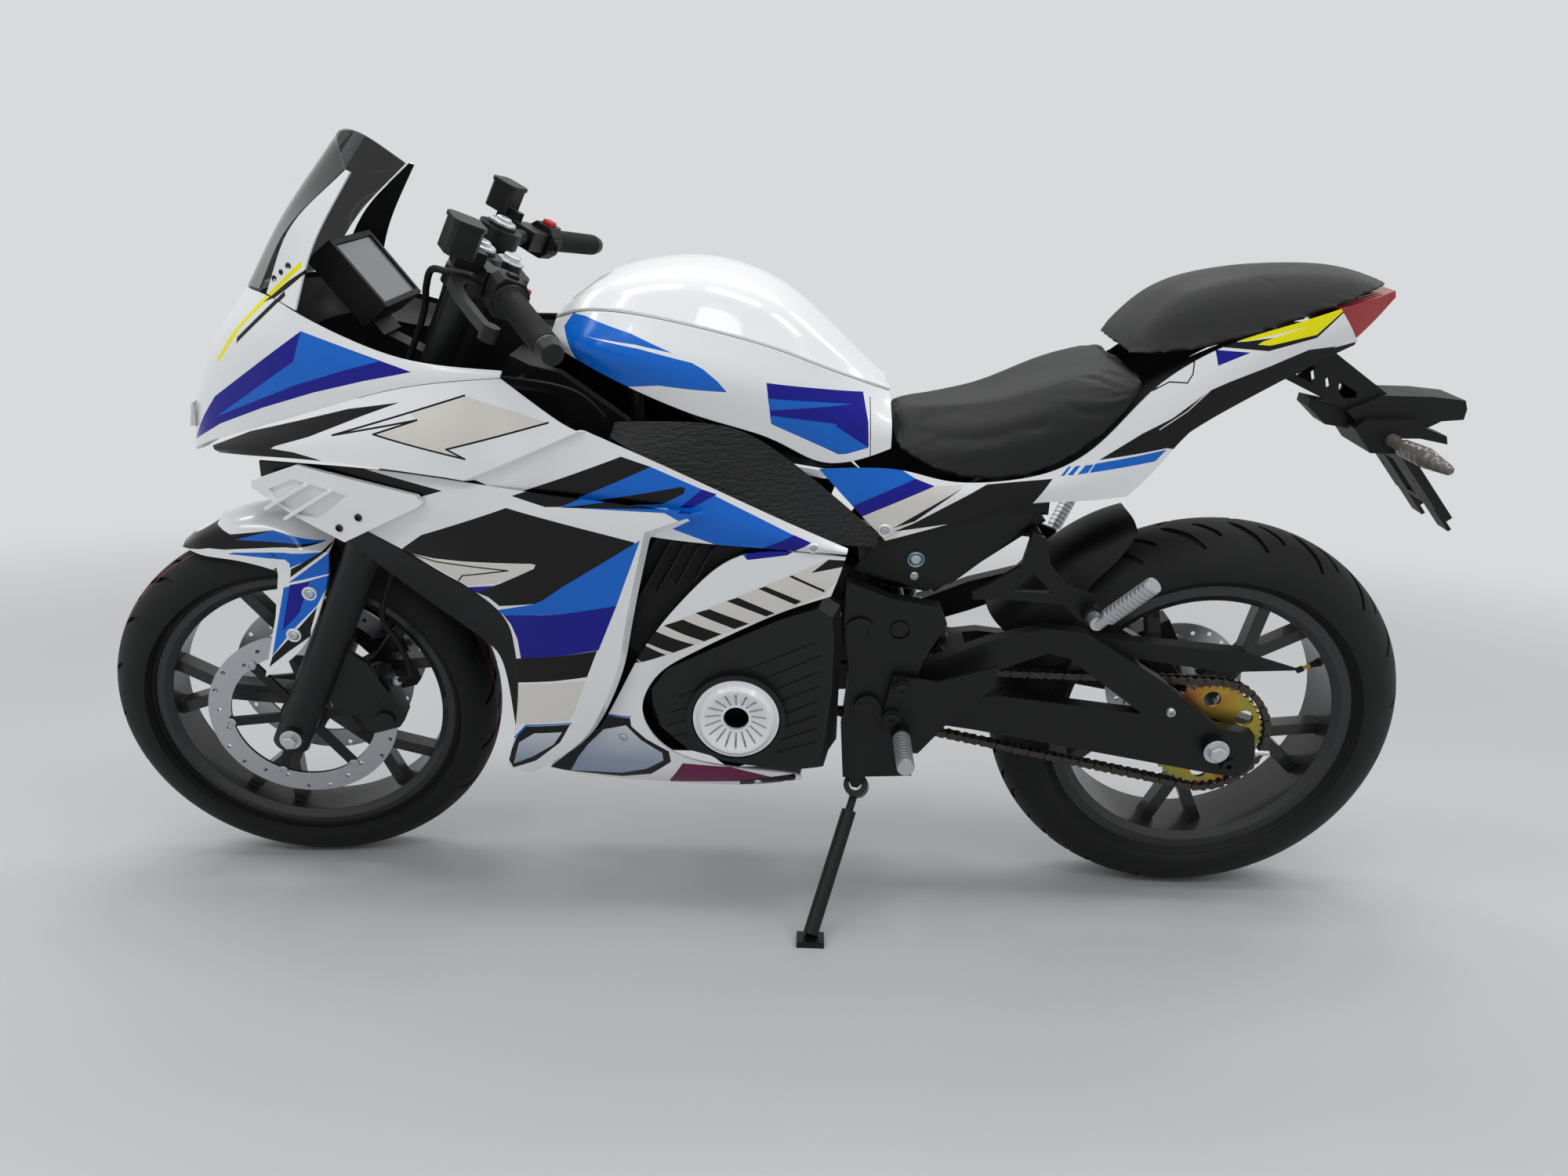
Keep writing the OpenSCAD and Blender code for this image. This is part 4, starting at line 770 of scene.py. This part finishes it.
class BIKE_OT_hoses(bpy.types.Operator):
    """Front brake hoses from the master cylinders to the calipers"""
    bl_idname = "bike.hoses"
    bl_label = "Brake hoses"

    def execute(self, context):
        for name, side in (("left", Matrix.Identity(4)), ("right", FLIP)):
            route = [FORK @ side @ place for place in eased(HOSE_ROUTE, 7)]
            line = bpy.data.curves.new(f"{name}_brake_hose", "CURVE")
            line.dimensions = "3D"
            line.bevel_depth = HOSE_DIAMETER / 2
            line.bevel_resolution = 4
            line.use_fill_caps = True
            run = line.splines.new("POLY")
            run.points.add(len(route) - 1)
            for point, place in zip(run.points, route):
                point.co = (*place, 1)
            line.materials.append(tyre_rubber())
            hose = bpy.data.objects.new(line.name, line)
            context.scene.collection.objects.link(hose)
            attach(hose, "steering")
            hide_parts("brake_hoses")
        return {"FINISHED"}


class BIKE_OT_fairing(bpy.types.Operator):
    """Painted nose, flanks, lower arms, tank, tail and front fender"""
    bl_idname = "bike.fairing"
    bl_label = "Painted panels"

    def execute(self, context):
        painted("upper_cowl", COWL_FILMS)
        painted("upper_sides", SIDE_FILMS)
        painted("front_sides", SIDE_FILMS)
        painted("lower_sides", SIDE_FILMS + ARM_FILMS)
        painted("tank_body", TANK_FILMS)
        painted("tank_cover", [])
        painted("tail_sides", TAIL_FILMS)
        painted("front_fender", FENDER_FILMS, STEERED)
        machined("winglets", paint_finishes()[0], 0.0018)
        return {"FINISHED"}


class BIKE_OT_plastics(bpy.types.Operator):
    """Bare black mouldings: cockpit, knees, vents, inner cowls, tail and guards"""
    bl_idname = "bike.plastics"
    bl_label = "Black mouldings"

    def execute(self, context):
        for name in ("cockpit_trim", "knee_panels", "inner_cowls", "undertail", "rear_hugger"):
            made = ripple_plastic() if name == "knee_panels" else black_plastic()
            skinned(name, f"{name}_moulded", made, bevel=0.0007)
        for name in ("side_vents", "side_plates", "plate_bracket", "chain_guard", "dash_housing"):
            machined(name, black_plastic(), 0.001)
        return {"FINISHED"}


class BIKE_OT_clear_parts(bpy.types.Operator):
    """Screen, lamps and display"""
    bl_idname = "bike.clear_parts"
    bl_label = "Screen and lamps"

    def execute(self, context):
        # smoked polycarbonate: dark, glossy and half clear
        smoked = finish("smoked_polycarbonate", "#101214", roughness=0.06, alpha=0.78, coat_weight=0.3)
        skinned("windscreen", "windscreen_smoked", smoked)
        # polycarbonate lamp lens: clear, with pressed ribs
        clear = finish("clear_lamp_lens", "#d8dde0", lens_ribs, roughness=0.1, transmission_weight=0.6)
        skinned("headlamps", "headlamp_lenses", clear)
        # red acrylic lens
        red = finish("red_acrylic_lens", "#b3121c", lens_ribs, roughness=0.12, transmission_weight=0.35,
                     coat_weight=0.5)
        skinned("tail_lamp", "tail_lamp_lens", red, 30, 0.0012)
        # smoked indicator lens
        grey = finish("smoked_indicator_lens", "#77736c", lens_ribs, roughness=0.15, transmission_weight=0.3)
        machined("rear_indicators", grey, 0.0004, 40)
        # liquid crystal behind glass: grey and glossy
        glass = finish("display_glass", "#6f7376", orange_peel, coat_weight=0.6, coat_roughness=0.02)
        machined("dash_display", glass, 0.0006)
        return {"FINISHED"}


UNDERSIDE = -0.3  # upward part of the normal below which a seat's cover is held to its base
EASING, PRESSURE, MOMENTS = 6, 4, 20  # passes of smoothing, foam pressure and frames of the cloth run


def swelled(bm, grid=0.005, inset=5.0, limit=0.006):
    """Foam pressing out its cover: an even grid a little inside the solid, blown by a short cloth run, base held."""
    bm.transform(PARK)
    scene = bpy.context.scene
    mesh = bpy.data.meshes.new("work")
    bm.to_mesh(mesh)
    work = bpy.data.objects.new("work", mesh)
    scene.collection.objects.link(work)
    even = work.modifiers.new("even_grid", "REMESH")
    even.mode = "VOXEL"
    even.voxel_size = grid
    bm.clear()
    bm.from_mesh(work.evaluated_get(bpy.context.evaluated_depsgraph_get()).to_mesh())
    work.modifiers.remove(even)
    for _ in range(EASING):
        bmesh.ops.smooth_vert(bm, verts=bm.verts, factor=0.5, use_axis_x=True, use_axis_y=True, use_axis_z=True)
    bm.normal_update()
    for vert in bm.verts:
        if vert.normal.z > UNDERSIDE:
            vert.co -= vert.normal * inset * 0.001 * min(1, vert.normal.z - UNDERSIDE)
    start = [vert.co.copy() for vert in bm.verts]
    held = [vert.index for vert in bm.verts if vert.normal.z < UNDERSIDE]
    bm.to_mesh(mesh)
    work.vertex_groups.new(name="base").add(held, 1.0, "REPLACE")
    cover = work.modifiers.new("cover", "CLOTH")
    cover.settings.vertex_group_mass = "base"
    cover.settings.use_pressure = True
    cover.settings.uniform_pressure_force = PRESSURE
    cover.settings.effector_weights.gravity = 0
    cover.collision_settings.use_collision = False
    for moment in range(1, MOMENTS + 1):
        scene.frame_set(moment)
    blown = work.evaluated_get(bpy.context.evaluated_depsgraph_get()).to_mesh()
    for vert, place in zip(bm.verts, blown.vertices):
        move = place.co - start[vert.index]
        vert.co = start[vert.index] + move * min(1, limit / max(move.length, 1e-9))
    scene.frame_set(1)
    bpy.data.objects.remove(work)
    bpy.data.meshes.remove(mesh)
    bm.transform(PARK.inverted())


class BIKE_OT_seats(bpy.types.Operator):
    """Rider and pillion seats in black vinyl"""
    bl_idname = "bike.seats"
    bl_label = "Seats"

    def execute(self, context):
        for name in ("rider_seat", "pillion_seat"):
            bm = copied(name, PARK)
            smoothed(bm, 2, 70)
            swelled(bm)
            made = put(bm, f"{name}_cushion", "chassis", [seat_vinyl()], PARK, 60, (name,), 0, 1)
        return {"FINISHED"}


# Rear shock: its ends in millimetres, its body's radius and height along it, and its spring
SHOCK_TOP, SHOCK_FOOT = Vector((-213.4, 0, 507.2)), Vector((-301.2, 0, 386.4))
SHOCK_BODY = [(0, 0), (12, 0), (12, 18), (30, 20.5), (30, 26), (17, 28), (17, 70), (12, 72), (12, 112), (30, 114),
              (30, 119.5), (12, 122), (12, 149), (0, 149)]
SPRING_SEATS, SPRING_RADIUS, SPRING_WIRE, SPRING_TURNS = (25, 115), 24, 5, 5


class BIKE_OT_chassis(bpy.types.Operator):
    """Frame, motor, swingarm, shock, footrests and stand"""
    bl_idname = "bike.chassis"
    bl_label = "Chassis"

    def execute(self, context):
        for name in ("main_frame", "pivot_plates", "subframe", "swingarm", "foot_brackets", "side_stand"):
            machined(name, powder_black(), 0.0012)
        for name in ("motor_block", "motor_covers", "battery_block", "rear_caliper"):
            machined(name, satin_black(), 0.0016, 24)
        bm = bmesh.new()
        along = (SHOCK_FOOT - SHOCK_TOP).normalized()
        turned(bm, SHOCK_TOP, along, SHOCK_BODY, 0, 32)
        start, end = (SHOCK_TOP + along * seat for seat in SPRING_SEATS)
        coil(bm, start, end, SPRING_RADIUS, SPRING_WIRE, SPRING_TURNS, 1)
        put(bm, "rear_shock_sprung", "chassis", [satin_black(), cast_silver()], PARK, 32, ("rear_shock",))
        machined("motor_caps", paint_finishes()[0], 0.0008)
        machined("footpegs", cast_silver(), 0.0008)
        return {"FINISHED"}


class BIKE_OT_front_end(bpy.types.Operator):
    """Fork, bars, levers, reservoirs, switch pods and front calipers"""
    bl_idname = "bike.front_end"
    bl_label = "Front end"

    def execute(self, context):
        for name in ("fork_upper", "fork_lowers", "front_calipers", "clip_ons", "levers", "reservoirs"):
            machined(name, satin_black(), 0.001)
        machined("switch_pods", black_plastic(), 0.0025)
        return {"FINISHED"}


SHOULDER = 66  # degrees of the tyre's section, each side of its middle, that carry tread
RIM = 218.7  # radius of the rims in millimetres


def tread_cell(pitch, reach, grooves, depth, stripe):
    """One pitch of tread laid flat: x round the tyre, z across it, y out; grooves sunk, with a printed line."""
    bm = bmesh.new()
    bmesh.ops.create_grid(bm, x_segments=14, y_segments=26, size=0.5)
    bm.transform(Matrix.Rotation(radians(90), 4, "X"))
    for vert in bm.verts:
        vert.co = Vector(((vert.co.x + 0.5) * pitch, 0, vert.co.z * 2 * reach))
    for side in SIDES:
        for outline in grooves:
            shape = [(p if side > 0 else (p + pitch / 2) % pitch, q * side) for p, q in outline]
            if max(p for p, q in shape) - min(p for p, q in shape) > pitch * 0.8:
                shape = [((p + pitch / 2) % pitch, q) for p, q in shape]
            lay_film(bm, shape, 1)
    if stripe:
        for low in (stripe, -stripe):
            lay_film(bm, [(-1, low), (pitch + 1, low), (pitch + 1, low + 1.4), (-1, low + 1.4)], 2)
    sunk = [face for face in bm.faces if face.material_index == 1]
    made = bmesh.ops.extrude_face_region(bm, geom=sunk)
    for part in made["geom"]:
        if isinstance(part, bmesh.types.BMVert):
            part.co.y -= depth
    bmesh.ops.delete(bm, geom=[f for f in sunk if f.is_valid], context="FACES")
    for face in bm.faces:
        face.material_index = 1 if face.material_index == 2 else 0
    return bm


def tyre(name, body, frame_matrix, radius, width, bead, pitches, grooves, stripe):
    """A tyre whose crown carries grooves and whose walls carry moulded rings, closed inside."""
    sizes = bpy.context.scene.bike_sizes
    half = width / 2
    reach = half * radians(SHOULDER)
    cell = tread_cell(2 * pi * radius / pitches, reach, grooves, sizes.groove, stripe)
    flat = bpy.data.meshes.new("work")
    cell.to_mesh(flat)
    cell.free()
    bm = bmesh.new()
    for k in range(pitches):
        start = len(bm.verts)
        bm.from_mesh(flat)
        bm.verts.ensure_lookup_table()
        for vert in bm.verts[start:]:
            vert.co.x += k * 2 * pi * radius / pitches
    bpy.data.meshes.remove(flat)
    for vert in bm.verts:
        turn, lie, out = vert.co.x / radius, vert.co.z / half, half + vert.co.y
        ring = radius - half + out * cos(lie)
        vert.co = Vector((ring * cos(turn), out * sin(lie), ring * sin(turn)))
    base, span = radius - half, radius - half - (RIM + 13)
    wall = [(base + half * cos(radians(a)), half * sin(radians(a))) for a in (SHOULDER, 72, 78, 84)]
    for t, swell in ((0.0, 0.0), (0.14, 0.9), (0.2, 0.9), (0.24, 0.0), (0.5, -0.8), (0.56, 0.3), (0.62, 0.3),
                     (0.66, -0.9), (0.9, -1.5), (1.0, -2.5)):
        wall.append((base - span * t, half * (1 - 0.14 * t) + swell - 0.6))
    wall += [(RIM + 12.8, bead + 1), (RIM + 1, bead), (RIM + 1, bead - 8), (base - 12, half - 12),
             (base + half * 0.6, half * 0.6), (radius - 12, 0)]
    whole = wall + [(r, -y) for r, y in reversed(wall[:-1])]
    verts = [bm.verts.new((r, y, 0)) for r, y in whole]
    edges = [bm.edges.new(pair) for pair in zip(verts, verts[1:])]
    bmesh.ops.spin(bm, geom=verts + edges, cent=(0, 0, 0), axis=(0, 1, 0), angle=-2 * pi, steps=14 * pitches,
                   use_merge=True, use_duplicate=False)
    bmesh.ops.remove_doubles(bm, verts=bm.verts, dist=0.05)
    bmesh.ops.recalc_face_normals(bm, faces=bm.faces)
    red = finish("red_marking_paint", "#a33a34", rubbery)
    return put(bm, f"{name}_treaded", body, [tyre_rubber(), red], frame_matrix, 30, (name,))


BAND = 29.5  # width of a disc's ground band


def disc(name, frame_matrix, radius, places):
    """Ground disc bands on black carriers, with a bobbin at each arm's end."""
    bm = copied(name, frame_matrix)
    bmesh.ops.dissolve_limit(bm, angle_limit=FLAT, verts=bm.verts, edges=bm.edges)
    for face in bm.faces:
        middle = face.calc_center_median()
        face.material_index = 1 if hypot(middle.x, middle.z) < radius - BAND else 0
    for place in places:
        for k in range(6):
            a = radians(60 * k + 30)
            at = Vector((cos(a) * (radius - 30), place, sin(a) * (radius - 30)))
            for side in SIDES:
                turned(bm, at + Vector((0, side * 2.6, 0)), (0, side, 0), screw(7.5, 2.2), 0, 16)
    return put(bm, f"{name}_ground", BODY_OF[name], [steel(), satin_black()], frame_matrix, 30, (name,), 0.0003)


# Drive in millimetres: pitch radii of the sprockets, place of the small one, and plane of the chain; then its links
LARGE, SMALL = 91.0, 31.0
DRIVE_X, DRIVE_Z, CHAIN_Y, LINKS = -60, 383, 86, 128


def chain_point(s, tilt, lead, reach):
    """Place in x and z at a length s round the two sprockets, from where the top run leaves the rear one."""
    wrap = SMALL * (pi - 2 * lead)
    if s < reach or reach + wrap < s < 2 * reach + wrap:
        side = 1 if s < reach else -1
        turn, way = tilt + side * (pi / 2 - lead), tilt - side * lead
        run = s if s < reach else 2 * reach + wrap - s
        return Vector((-AXLE_X + LARGE * cos(turn) + run * cos(way), 0,
                       REAR_Z + LARGE * sin(turn) + run * sin(way)))
    if s < reach + wrap:
        turn = tilt + pi / 2 - lead - (s - reach) / SMALL
        return Vector((DRIVE_X + SMALL * cos(turn), 0, DRIVE_Z + SMALL * sin(turn)))
    turn = tilt - pi / 2 + lead - (s - 2 * reach - wrap) / LARGE
    return Vector((-AXLE_X + LARGE * cos(turn), 0, REAR_Z + LARGE * sin(turn)))


def link_mesh(length, wide):
    """One link of the chain along x: two waisted plates, with riveted pins if wide and rollers if not."""
    bm = bmesh.new()
    gap, thick = (7.2, 1.7) if wide else (5.2, 1.7)
    for side in SIDES:
        before = set(bm.verts)
        bmesh.ops.create_cube(bm, size=1, matrix=Matrix.Translation((0, side * gap, 0))
                              @ Matrix.Diagonal((length + 11, thick, 11, 1)))
        corners = [edge for edge in added(bm, before)[1] if abs(edge.verts[0].co.y - edge.verts[1].co.y) > 0.5]
        bmesh.ops.bevel(bm, geom=corners, offset=4.6, segments=3, profile=0.5, affect="EDGES", material=-1)
        verts, edges, faces = added(bm, before)
        bmesh.ops.bisect_plane(bm, geom=verts + edges + faces, dist=0.01, plane_co=(0, 0, 0), plane_no=(1, 0, 0))
        for vert in bm.verts:
            if vert not in before and abs(vert.co.x) < 0.02:
                vert.co.z *= 0.74
    pin = [(0, 0), (1.7, 0), (2.3, 0.6), (2.3, 16.8), (1.7, 17.4), (0, 17.4)]
    roller = [(2.3, 0), (4.2, 0), (4.2, 8.8), (2.3, 8.8), (2.3, 0)]
    profile, steps = (pin, 10) if wide else (roller, 12)
    for end in (-0.5, 0.5):
        turned(bm, (end * length, -profile[-2][1] / 2, 0), (0, 1, 0), profile, 0, steps)
    made = bpy.data.meshes.new("work")
    bm.to_mesh(made)
    bm.free()
    return made


def drive_chain():
    """The drive chain: wide and narrow links in turn round both sprockets."""
    span = hypot(DRIVE_X + AXLE_X, DRIVE_Z - REAR_Z)
    tilt, lead = atan2(DRIVE_Z - REAR_Z, DRIVE_X + AXLE_X), asin((LARGE - SMALL) / span)
    reach = span * cos(lead)
    total = 2 * reach + LARGE * (pi + 2 * lead) + SMALL * (pi - 2 * lead)
    pins = [chain_point(total * k / LINKS, tilt, lead, reach) for k in range(LINKS)]
    length = total / LINKS
    kinds = [link_mesh(length, True), link_mesh(length, False)]
    bm = bmesh.new()
    for k, (a, b) in enumerate(zip(pins, pins[1:] + pins[:1])):
        before = len(bm.verts)
        bm.from_mesh(kinds[k % 2])
        bm.verts.ensure_lookup_table()
        run = b - a
        middle = (a + b) / 2 + Vector((0, CHAIN_Y, 0))
        place = Matrix.Translation(middle) @ Matrix.Rotation(-atan2(run.z, run.x), 4, "Y")
        bmesh.ops.transform(bm, matrix=place, verts=bm.verts[before:])
    for mesh in kinds:
        bpy.data.meshes.remove(mesh)
    return put(bm, "chain_linked", "chassis", [chain_steel()], PARK, 32, ("chain",))


class BIKE_OT_wheels(bpy.types.Operator):
    """Tyres with tread, cast rims, discs, sprocket and chain"""
    bl_idname = "bike.wheels"
    bl_label = "Wheels"

    def execute(self, context):
        sizes = context.scene.bike_sizes
        # long sipes that sweep back from the crown, and short ones on the shoulder
        rear = [[(8, 6), (20, 12), (44, 34), (62, 60), (56, 62), (36, 40), (12, 19), (5, 10)],
                [(52, 8), (66, 14), (84, 30), (90, 40), (84, 42), (76, 32), (60, 19), (50, 12)]]
        front = [[(10, 8), (22, 13), (44, 30), (58, 46), (52, 48), (38, 34), (14, 19), (7, 12)],
                 [(56, 5), (68, 9), (80, 20), (75, 22), (64, 13), (54, 9)]]
        tyre("front_tyre", "front_wheel", FORK, 293, 110, 31, sizes.front_pitches, front, 21)
        tyre("rear_tyre", "rear_wheel", REAR, 314, 140, 46, sizes.rear_pitches, rear, 0)
        gloss = finish("black_enamel_on_cast_rim", "#0f1012", powder, coat_weight=0.3)
        for name in ("front_rim", "rear_rim"):
            machined(name, gloss, 0.0016)
        disc("front_discs", FORK, 141, (62, -62))
        disc("rear_disc", REAR, 110, (-80,))
        machined("rear_sprocket", gold_zinc(), 0.0005)
        drive_chain()
        return {"FINISHED"}


# Screws of the chassis: node, x, z, head radius, head height, finish (0 zinc, 1 black, 2 white cup, 3 blue zinc cup)
CHASSIS_SCREWS = [
    ("winglets", 533, 652, 5, 3, 1), ("winglets", 503, 670, 5, 3, 1), ("tail_sides", -190, 643, 10, 3, 2),
    ("upper_sides", -92, 642, 8, 2.6, 2), ("side_plates", -237, 597, 13, 3, 3), ("side_plates", -236, 573, 6.5, 4, 0),
    ("lower_sides", 172, 336, 6, 3, 0), ("lower_sides", -22, 252, 6, 3, 0), ("upper_cowl", 607, 959, 4.5, 0.4, 1),
    ("upper_cowl", 595, 968, 3.5, 0.4, 1), ("upper_cowl", 583, 976, 4.5, 0.4, 1), ("pivot_plates", -162, 499, 22, 2, 1),
    ("swingarm", -625, 372, 7, 6, 0), ("foot_brackets", -224, 420, 9, 3, 1), ("foot_brackets", -213, 372, 9, 3, 1),
]


# Places and sizes in millimetres of the upright machine
AXLE_NUT_Y, PIVOT_X, PIVOT_Z = 138, -178, 381
ADJUSTER_X, ADJUSTER_Y, ADJUSTER_Z = -761.5, 113, 300
STAND_PIVOT, STAND_HINGE = Vector((-170, 134, 234)), Vector((0.1396, 0.7627, 0.6316))
# Places and profiles in millimetres of a wheel, of the fork and of the grips
VALVE_RADIUS, VALVE_Y = 204.2, 16
FENDER_SCREWS, FORK_NUT_Y, FORK_Y, FORK_TOP = ((48.4, 235.4), (48.4, 164.2)), 132, 100, 795
FORK_CAP = [(0, -0.4), (19, -0.4), (19, 3), (17.5, 4.2), (11, 4.2), (11, 8), (9, 9), (5, 9), (5, 6), (0, 6)]
RIBS, RIB_PITCH = 30, 4.2
# Switches in millimetres of a bar's frame: low corner, high corner, finish (0 red, 1 black), rounding
SWITCHES = {
    "left": [((87, 25, 3), (93, 31, 14), 0, 1.2), ((97, 25, -7), (105, 30, 2), 1, 1.2),
             ((92, -8, 23.5), (104, 6, 28), 1, 1.2)],
    "right": [((88, -8, 23), (106, 8, 31), 0, 2.5), ((92, 25, -6), (102, 30, 4), 1, 1.2)],
}


class BIKE_OT_small_parts(bpy.types.Operator):
    """Screws, nuts, valves, fork caps, switches and grips"""
    bl_idname = "bike.small_parts"
    bl_label = "Small parts"

    def execute(self, context):
        blued = finish("blue_zinc_plate", "#7fa3ad", powder, metallic=1.0)
        finishes = [zinc(), satin_black(), paint_finishes()[0], blued]
        bm = bmesh.new()
        for name, x, z, radius, height, kind in CHASSIS_SCREWS:
            for side in SIDES:
                at, out = landing(name, PARK, x, z, side)
                if kind > 1:
                    turned(bm, at, out, cup(radius, height), kind)
                    turned(bm, at + out * 0.5, out, screw(radius * 0.55, height * 0.7), 0)
                else:
                    turned(bm, at, out, screw(radius, height), kind)
        for side in SIDES:
            hexagon(bm, (-AXLE_X, side * AXLE_NUT_Y, REAR_Z), (0, side, 0), 13, 8)
            adjuster = (ADJUSTER_X, side * ADJUSTER_Y, ADJUSTER_Z)
            turned(bm, adjuster, (-1, 0, 0), [(0, -1), (4, -1), (4, 24), (3, 25.5), (0, 25.5)])
            hexagon(bm, adjuster, (-1, 0, 0), 6.5, 5)
            for k in range(5):
                a = radians(72 * k + 20)
                at, out = landing("pivot_plates", PARK, PIVOT_X + 12 * cos(a), PIVOT_Z + 12 * sin(a), side)
                turned(bm, at, out, screw(2.8, 0.8), 1, 12)
        turned(bm, STAND_PIVOT + STAND_HINGE * 16, STAND_HINGE, screw(10, 5), 0)
        put(bm, "chassis_screws", "chassis", finishes, PARK, 32)

        # tyre valves: a rubber foot, a stem and a cap, pointing at the hub
        yellow = finish("yellow_valve_cap", "#c9a21c", moulded)
        for name, body, frame_matrix, a in (("front", "front_wheel", FORK, radians(110)),
                                            ("rear", "rear_wheel", REAR, radians(153))):
            out = Vector((cos(a), 0, sin(a)))
            bm = bmesh.new()
            at = out * VALVE_RADIUS + Vector((0, VALVE_Y, 0))
            turned(bm, at, -out, [(0, -0.5), (7, -0.5), (6, 4), (4.4, 9), (4.4, 14), (0, 14)], 0)
            turned(bm, at - out * 13.5, -out, [(0, 0), (3, 0), (3, 12), (0, 12)], 1)
            turned(bm, at - out * 25, -out, [(0, 0), (4.6, 0), (4.6, 9), (4, 10.5), (0, 10.5)], 0)
            put(bm, f"{name}_valve", body, [tyre_rubber(), yellow], frame_matrix, 32)

        bm = bmesh.new()
        for side in SIDES:
            for x, z in FENDER_SCREWS:
                at, out = landing("front_fender", FORK, x, z, side)
                turned(bm, at, out, cup(11, 3.5), 2)
                turned(bm, at + out * 0.5, out, screw(6, 2.6), 0)
            hexagon(bm, (0, side * FORK_NUT_Y, 0), (0, side, 0), 11, 9)
            turned(bm, (0, side * FORK_Y, FORK_TOP), (0, 0, 1), FORK_CAP, 0, 32)
            hexagon(bm, (CALIPER_BOLT[0], side * CALIPER_BOLT[1], CALIPER_BOLT[2]), (0, side, 0), 5.5, 5)
        hexagon(bm, (-OFFSET, 0, 772), (0, 0, 1), 13, 6)
        put(bm, "fork_screws", "steering", finishes, FORK, 32)

        for side, name in zip(SIDES, ("left", "right")):
            bm = bmesh.new()
            for low, high, slot, round_off in SWITCHES[name]:
                block(bm, low, high, slot, round_off)
            put(bm, f"{name}_switches", "steering", [red_plastic(), black_plastic()], bar_frame(side), 32)
            bm = bmesh.new()
            ribs = [(11.4, 116), (21, 116), (21, 122), (17.2, 124)]
            for k in range(RIBS):
                along = 125 + RIB_PITCH * k
                ribs += [(16.4, along), (16.4, along + 2.4), (15.5, along + 2.9), (15.5, along + 3.7)]
            ribs += [(16, 251), (11.4, 251), (11.4, 116)]
            turned(bm, (0, 0, 0), (1, 0, 0), ribs, 0, 40)
            put(bm, f"{name}_grip_ribbed", "steering", [tyre_rubber()], bar_frame(side), 32, ("grips",))
        return {"FINISHED"}


class BIKE_PT_sidebar(bpy.types.Panel):
    """Lists the makers of the machine's pieces"""
    bl_label = "Motorcycle"
    bl_space_type = "VIEW_3D"
    bl_region_type = "UI"
    bl_category = "Motorcycle"

    def draw(self, context):
        for made in OPERATORS:
            self.layout.operator(made.bl_idname)
        for group in (context.scene.bike_paint, context.scene.bike_sizes, context.scene.bike_stage):
            for name in group.__annotations__:
                self.layout.prop(group, name)


OPERATORS = (BIKE_OT_stage, BIKE_OT_hoses, BIKE_OT_fairing, BIKE_OT_plastics, BIKE_OT_clear_parts, BIKE_OT_seats,
             BIKE_OT_chassis, BIKE_OT_front_end, BIKE_OT_wheels, BIKE_OT_small_parts)
CLASSES = (PaintColours, FineSizes, StageLook) + OPERATORS + (BIKE_PT_sidebar,)


def register():
    for made in CLASSES:
        bpy.utils.register_class(made)
    bpy.types.Scene.bike_paint = PointerProperty(type=PaintColours)
    bpy.types.Scene.bike_sizes = PointerProperty(type=FineSizes)
    bpy.types.Scene.bike_stage = PointerProperty(type=StageLook)


def unregister():
    for name in ("bike_paint", "bike_sizes", "bike_stage"):
        delattr(bpy.types.Scene, name)
    for made in reversed(CLASSES):
        bpy.utils.unregister_class(made)


def main():
    register()
    for made in OPERATORS:
        group, name = made.bl_idname.split(".")
        getattr(getattr(bpy.ops, group), name)()


if __name__ == "__main__":
    main()
